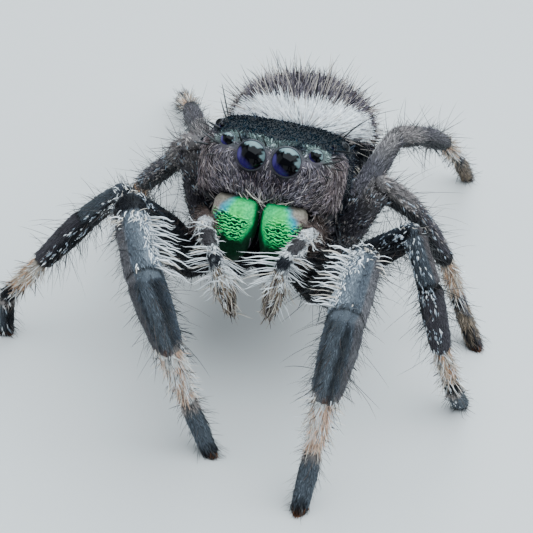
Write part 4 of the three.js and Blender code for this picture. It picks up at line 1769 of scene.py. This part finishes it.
class Jaws:
    """The two green jaws with their fangs."""

    def __init__(self, anatomy: Anatomy, sizes: JawSizes) -> None:
        """Builds both jaws.

        Args:
            anatomy: The spider's parts.
            sizes: Their surface.
        """
        self.anatomy = anatomy
        self.sizes = sizes
        self.shell = JawShell().material()
        self.fangs = bmesh.new()
        for side, sign in SIDES.items():
            self.build(side, sign)
        finish_horn(self.fangs, "fangs")

    def build(self, side: str, sign: int) -> None:
        """Makes one jaw: smooth above, with fine cross folds on its lower half, and its fang; its colours
        carry a painted highlight in the middle and painted shade at its edges, top and lower end.

        Args:
            side: Which jaw.
            sign: +1 on the left.
        """
        node = f"chelicera_{side}"
        mesh = remeshed(to_bmesh(node), self.sizes.voxel, self.sizes.smoothing)
        head = self.anatomy.head
        local = head.local(corners_of(mesh))
        low, high = local.min(axis=0), local.max(axis=0)
        share = (local - low) / (high - low)
        out = share[:, 0] if sign > 0 else 1 - share[:, 0]
        down = 1 - share[:, 2]
        wander = 0.06 * ripple(local, 0.4, 9)
        inner = 0.06 + 0.2 * ease(down, 0.3, 0.75)
        # Painted shade: dark lines along the inner edge by the other jaw, the outer edge, the top under the
        # face and the lower end.
        ends = [ease(out - inner, 0.06, -0.04), ease(out, 0.96, 1.0), ease(down, 0.05, 0.0),
                ease(down + wander, 0.48, 0.66)]
        # Painted shade: darker green at the top under the face and towards the lower end.
        painted_shade = np.maximum(0.85 * ease(down + wander, 0.34, 0.62), 0.5 * ease(down, 0.24, 0.06))
        tone = painted(
            len(local), Tone.EMERALD,
            # Painted highlight: a broad lime glow in the middle of the upper jaw.
            (Tone.LIME, 0.6 * np.exp(-((out - 0.42) ** 2) / 0.04 - (down + wander - 0.3) ** 2 / 0.05)),
            (Tone.TEAL, 0.85 * ease(out - 0.3 * down + wander, 0.46, 0.66)),
            (Tone.SHELL, ease(out - 0.8 * down + wander, 0.5, 0.68)),
            (Tone.DEEP_GREEN, painted_shade),
            (Tone.INK, 0.9 * np.maximum.reduce(ends)),
        )
        folds = ease(down + wander, self.sizes.folds_from, self.sizes.folds_full)
        folds = folds * ease(down + wander, 0.66, 0.52)
        set_tint(mesh, tone, folds * ease(out - inner, 0.0, 0.15) * ease(out, 1.0, 0.82))
        finish_piece(mesh, f"jaw_{side}", self.shell, [node])
        base = head.world([(low[0] + high[0]) / 2 + 0.12 * sign, high[1] - 0.5, low[2] + 0.08])
        way = np.array([-0.75 * sign, 0.25, -0.25]) @ head.axes
        bend = 0.5 * head.axes[2] + 0.3 * head.axes[1]
        hook(self.fangs, base, way, bend, self.sizes.fang_length, self.sizes.fang_thick)


def hook(shape: bmesh.types.BMesh, base: np.ndarray, way: np.ndarray, bend: np.ndarray, length: float,
         thick: float) -> None:
    """Adds a curved claw to a shape.

    Args:
        shape: The shape.
        base: Where it starts.
        way: The way it starts.
        bend: What its tip is moved by, as shares of its length.
        length: How long it is.
        thick: The radius at its base.
    """
    turn = Vector(way).to_track_quat("Z", "Y").to_matrix().to_4x4()
    place = Matrix.Translation(Vector(base)) @ turn @ Matrix.Translation((0, 0, length / 2))
    first_vert, first_edge = len(shape.verts), len(shape.edges)
    bmesh.ops.create_cone(
        shape, segments=10, cap_ends=True, radius1=thick, radius2=0.12 * thick, depth=length, matrix=place
    )
    start, ahead = Vector(base), Vector(unit(way))
    shape.edges.ensure_lookup_table()
    long = [
        edge for edge in shape.edges[first_edge:]
        if abs((edge.verts[1].co - edge.verts[0].co).dot(ahead)) > 0.8 * length
    ]
    bmesh.ops.subdivide_edges(shape, edges=long, cuts=6)
    shape.verts.ensure_lookup_table()
    for vert in shape.verts[first_vert:]:
        share = (vert.co - start).dot(ahead) / length
        vert.co += Vector(bend) * length * share * share


def finish_horn(shape: bmesh.types.BMesh, name: str) -> None:
    """Makes a piece of dark horn of a shape, which is freed."""
    bmesh.ops.recalc_face_normals(shape, faces=shape.faces)
    for vert in shape.verts:
        vert.co.z = max(vert.co.z, FLOOR_GAP)
    mesh = to_mesh(shape, name)
    set_tint(mesh, painted(len(mesh.vertices), Tone.HORN))
    finish_piece(mesh, name, CLAW.material())


@dataclass(frozen=True)
class ClawSizes:
    """The paired claws of a foot, in millimetres."""

    length: float = 0.19
    thick: float = 0.026
    spread: float = 0.07
    height: float = 0.07
    inset: float = 0.04


class Claws:
    """Two small hooked claws at the end of each leg."""

    def __init__(self, anatomy: Anatomy, sizes: ClawSizes) -> None:
        """Builds all the claws as one piece.

        Args:
            anatomy: The spider's parts.
            sizes: Their sizes.
        """
        shape = bmesh.new()
        for part in anatomy.parts:
            if part.region != Region.TARSUS:
                continue
            level = unit(part.axes[1] * [1, 1, 0])
            across = np.cross(level, [0.0, 0.0, 1.0])
            tip = part.world([0, part.length - sizes.inset, 0]) + np.array([0, 0, sizes.height])
            for side in (-1, 1):
                base = tip + across * side * sizes.spread
                way = unit(level + 0.25 * side * across + np.array([0, 0, 0.25]))
                hook(shape, base, way, np.array([0, 0, -0.55]), sizes.length, sizes.thick)
        finish_horn(shape, "claws")


# ---------------------------------------------------------------- studio


@dataclass(frozen=True)
class CameraSetting:
    """The camera, round a point set from the front eyes; millimetres and degrees."""

    aim: tuple = (0.0, 2.232, -4.535)
    azimuth: float = 7.31
    elevation: float = 33.14
    roll: float = 7.82
    distance: float = 38.0
    lens: float = 94.65


@dataclass(frozen=True)
class Panel:
    """A square light panel: its place from the camera's aim and its side in millimetres."""

    name: str
    place: tuple
    size: float
    radiance: float


@dataclass(frozen=True)
class StudioSetting:
    """The floor in metres, the panels and the light from all round."""

    floor_half: float = 0.6
    floor_tone: tuple = (0.55, 0.55, 0.54)
    floor_roughness: float = 0.8
    lamp_tone: tuple = (0.82, 0.93, 1.0)
    sky_tone: tuple = (0.74, 0.86, 0.97)
    sky_strength: float = 0.42
    panels: tuple = (
        Panel("key", (22, -5, 100), 175, 4.6),
        Panel("side", (86, -4, 23), 80, 2.2),
        Panel("fill", (-90, -30, 40), 90, 1.4),
        Panel("rim", (-10, 80, 60), 50, 5.2),
    )


class Studio:
    """The floor, the lights and the camera."""

    def __init__(self, camera: CameraSetting, setting: StudioSetting) -> None:
        """Sets everything up.

        Args:
            camera: The camera.
            setting: The floor and the light.
        """
        self.setting = setting
        front = [box_centre(f"eye_front_middle_{side}") for side in SIDES]
        self.aim = (sum(front) / 2 + np.array(camera.aim)) * MM
        self.camera(camera)
        self.floor()
        for panel in setting.panels:
            self.light(panel)
        self.surroundings()

    def camera(self, setting: CameraSetting) -> None:
        """Places the camera."""
        turn, rise = math.radians(setting.azimuth), math.radians(setting.elevation)
        back = Vector((math.sin(turn) * math.cos(rise), -math.cos(turn) * math.cos(rise), math.sin(rise)))
        right = Vector((0, 0, 1)).cross(back).normalized()
        axes = Matrix((right, back.cross(right), back)).transposed().to_4x4()
        data = bpy.data.cameras.new("camera")
        data.lens = setting.lens
        data.clip_start = 0.001
        data.clip_end = 10
        camera = bpy.data.objects.new("camera", data)
        place = Vector(self.aim) + back * setting.distance * MM
        roll = Matrix.Rotation(math.radians(setting.roll), 4, "Z")
        camera.matrix_world = Matrix.Translation(place) @ axes @ roll
        bpy.context.scene.collection.objects.link(camera)
        bpy.context.scene.camera = camera

    def floor(self) -> None:
        """A plain pale floor."""
        shape = bmesh.new()
        bmesh.ops.create_grid(shape, x_segments=1, y_segments=1, size=self.setting.floor_half)
        mesh = to_mesh(shape, "floor")
        floor = bpy.data.objects.new("floor", mesh)
        bpy.context.scene.collection.objects.link(floor)
        graph = Graph("floor_paper")
        graph.shader.inputs["Base Color"].default_value = (*self.setting.floor_tone, 1)
        graph.shader.inputs["Roughness"].default_value = self.setting.floor_roughness
        mesh.materials.append(graph.material)

    def light(self, panel: Panel) -> None:
        """Hangs a panel, aimed at the spider.

        Args:
            panel: The panel.
        """
        data = bpy.data.lights.new(panel.name, "AREA")
        data.size = panel.size * MM
        data.energy = panel.radiance * math.pi * data.size**2
        data.color = self.setting.lamp_tone
        lamp = bpy.data.objects.new(panel.name, data)
        lamp.location = Vector(self.aim) + Vector(panel.place) * MM
        lamp.rotation_euler = (Vector(self.aim) - lamp.location).to_track_quat("-Z", "Y").to_euler()
        bpy.context.scene.collection.objects.link(lamp)

    def surroundings(self) -> None:
        """Pale even light from all round."""
        world = bpy.data.worlds.new("studio")
        world.use_nodes = True
        sky = world.node_tree.nodes["Background"].inputs
        sky["Color"].default_value = (*self.setting.sky_tone, 1)
        sky["Strength"].default_value = self.setting.sky_strength
        bpy.context.scene.world = world


def main() -> None:
    """Builds the spider and its studio."""
    logging.basicConfig(level=logging.INFO, format="%(message)s", stream=sys.stdout)
    anatomy = Anatomy(BodyFrames())
    markings = Markings(anatomy)
    Studio(CameraSetting(), StudioSetting())
    skin = Skin(anatomy, markings, SkinSizes())
    Eyes(anatomy, EyeSizes())
    Jaws(anatomy, JawSizes())
    Claws(anatomy, ClawSizes())
    Groom(anatomy, markings, skin).build()
    finish_piece(skin.mesh, "skin", SKIN.material(), skin.flesh)


if __name__ == "__main__":
    main()
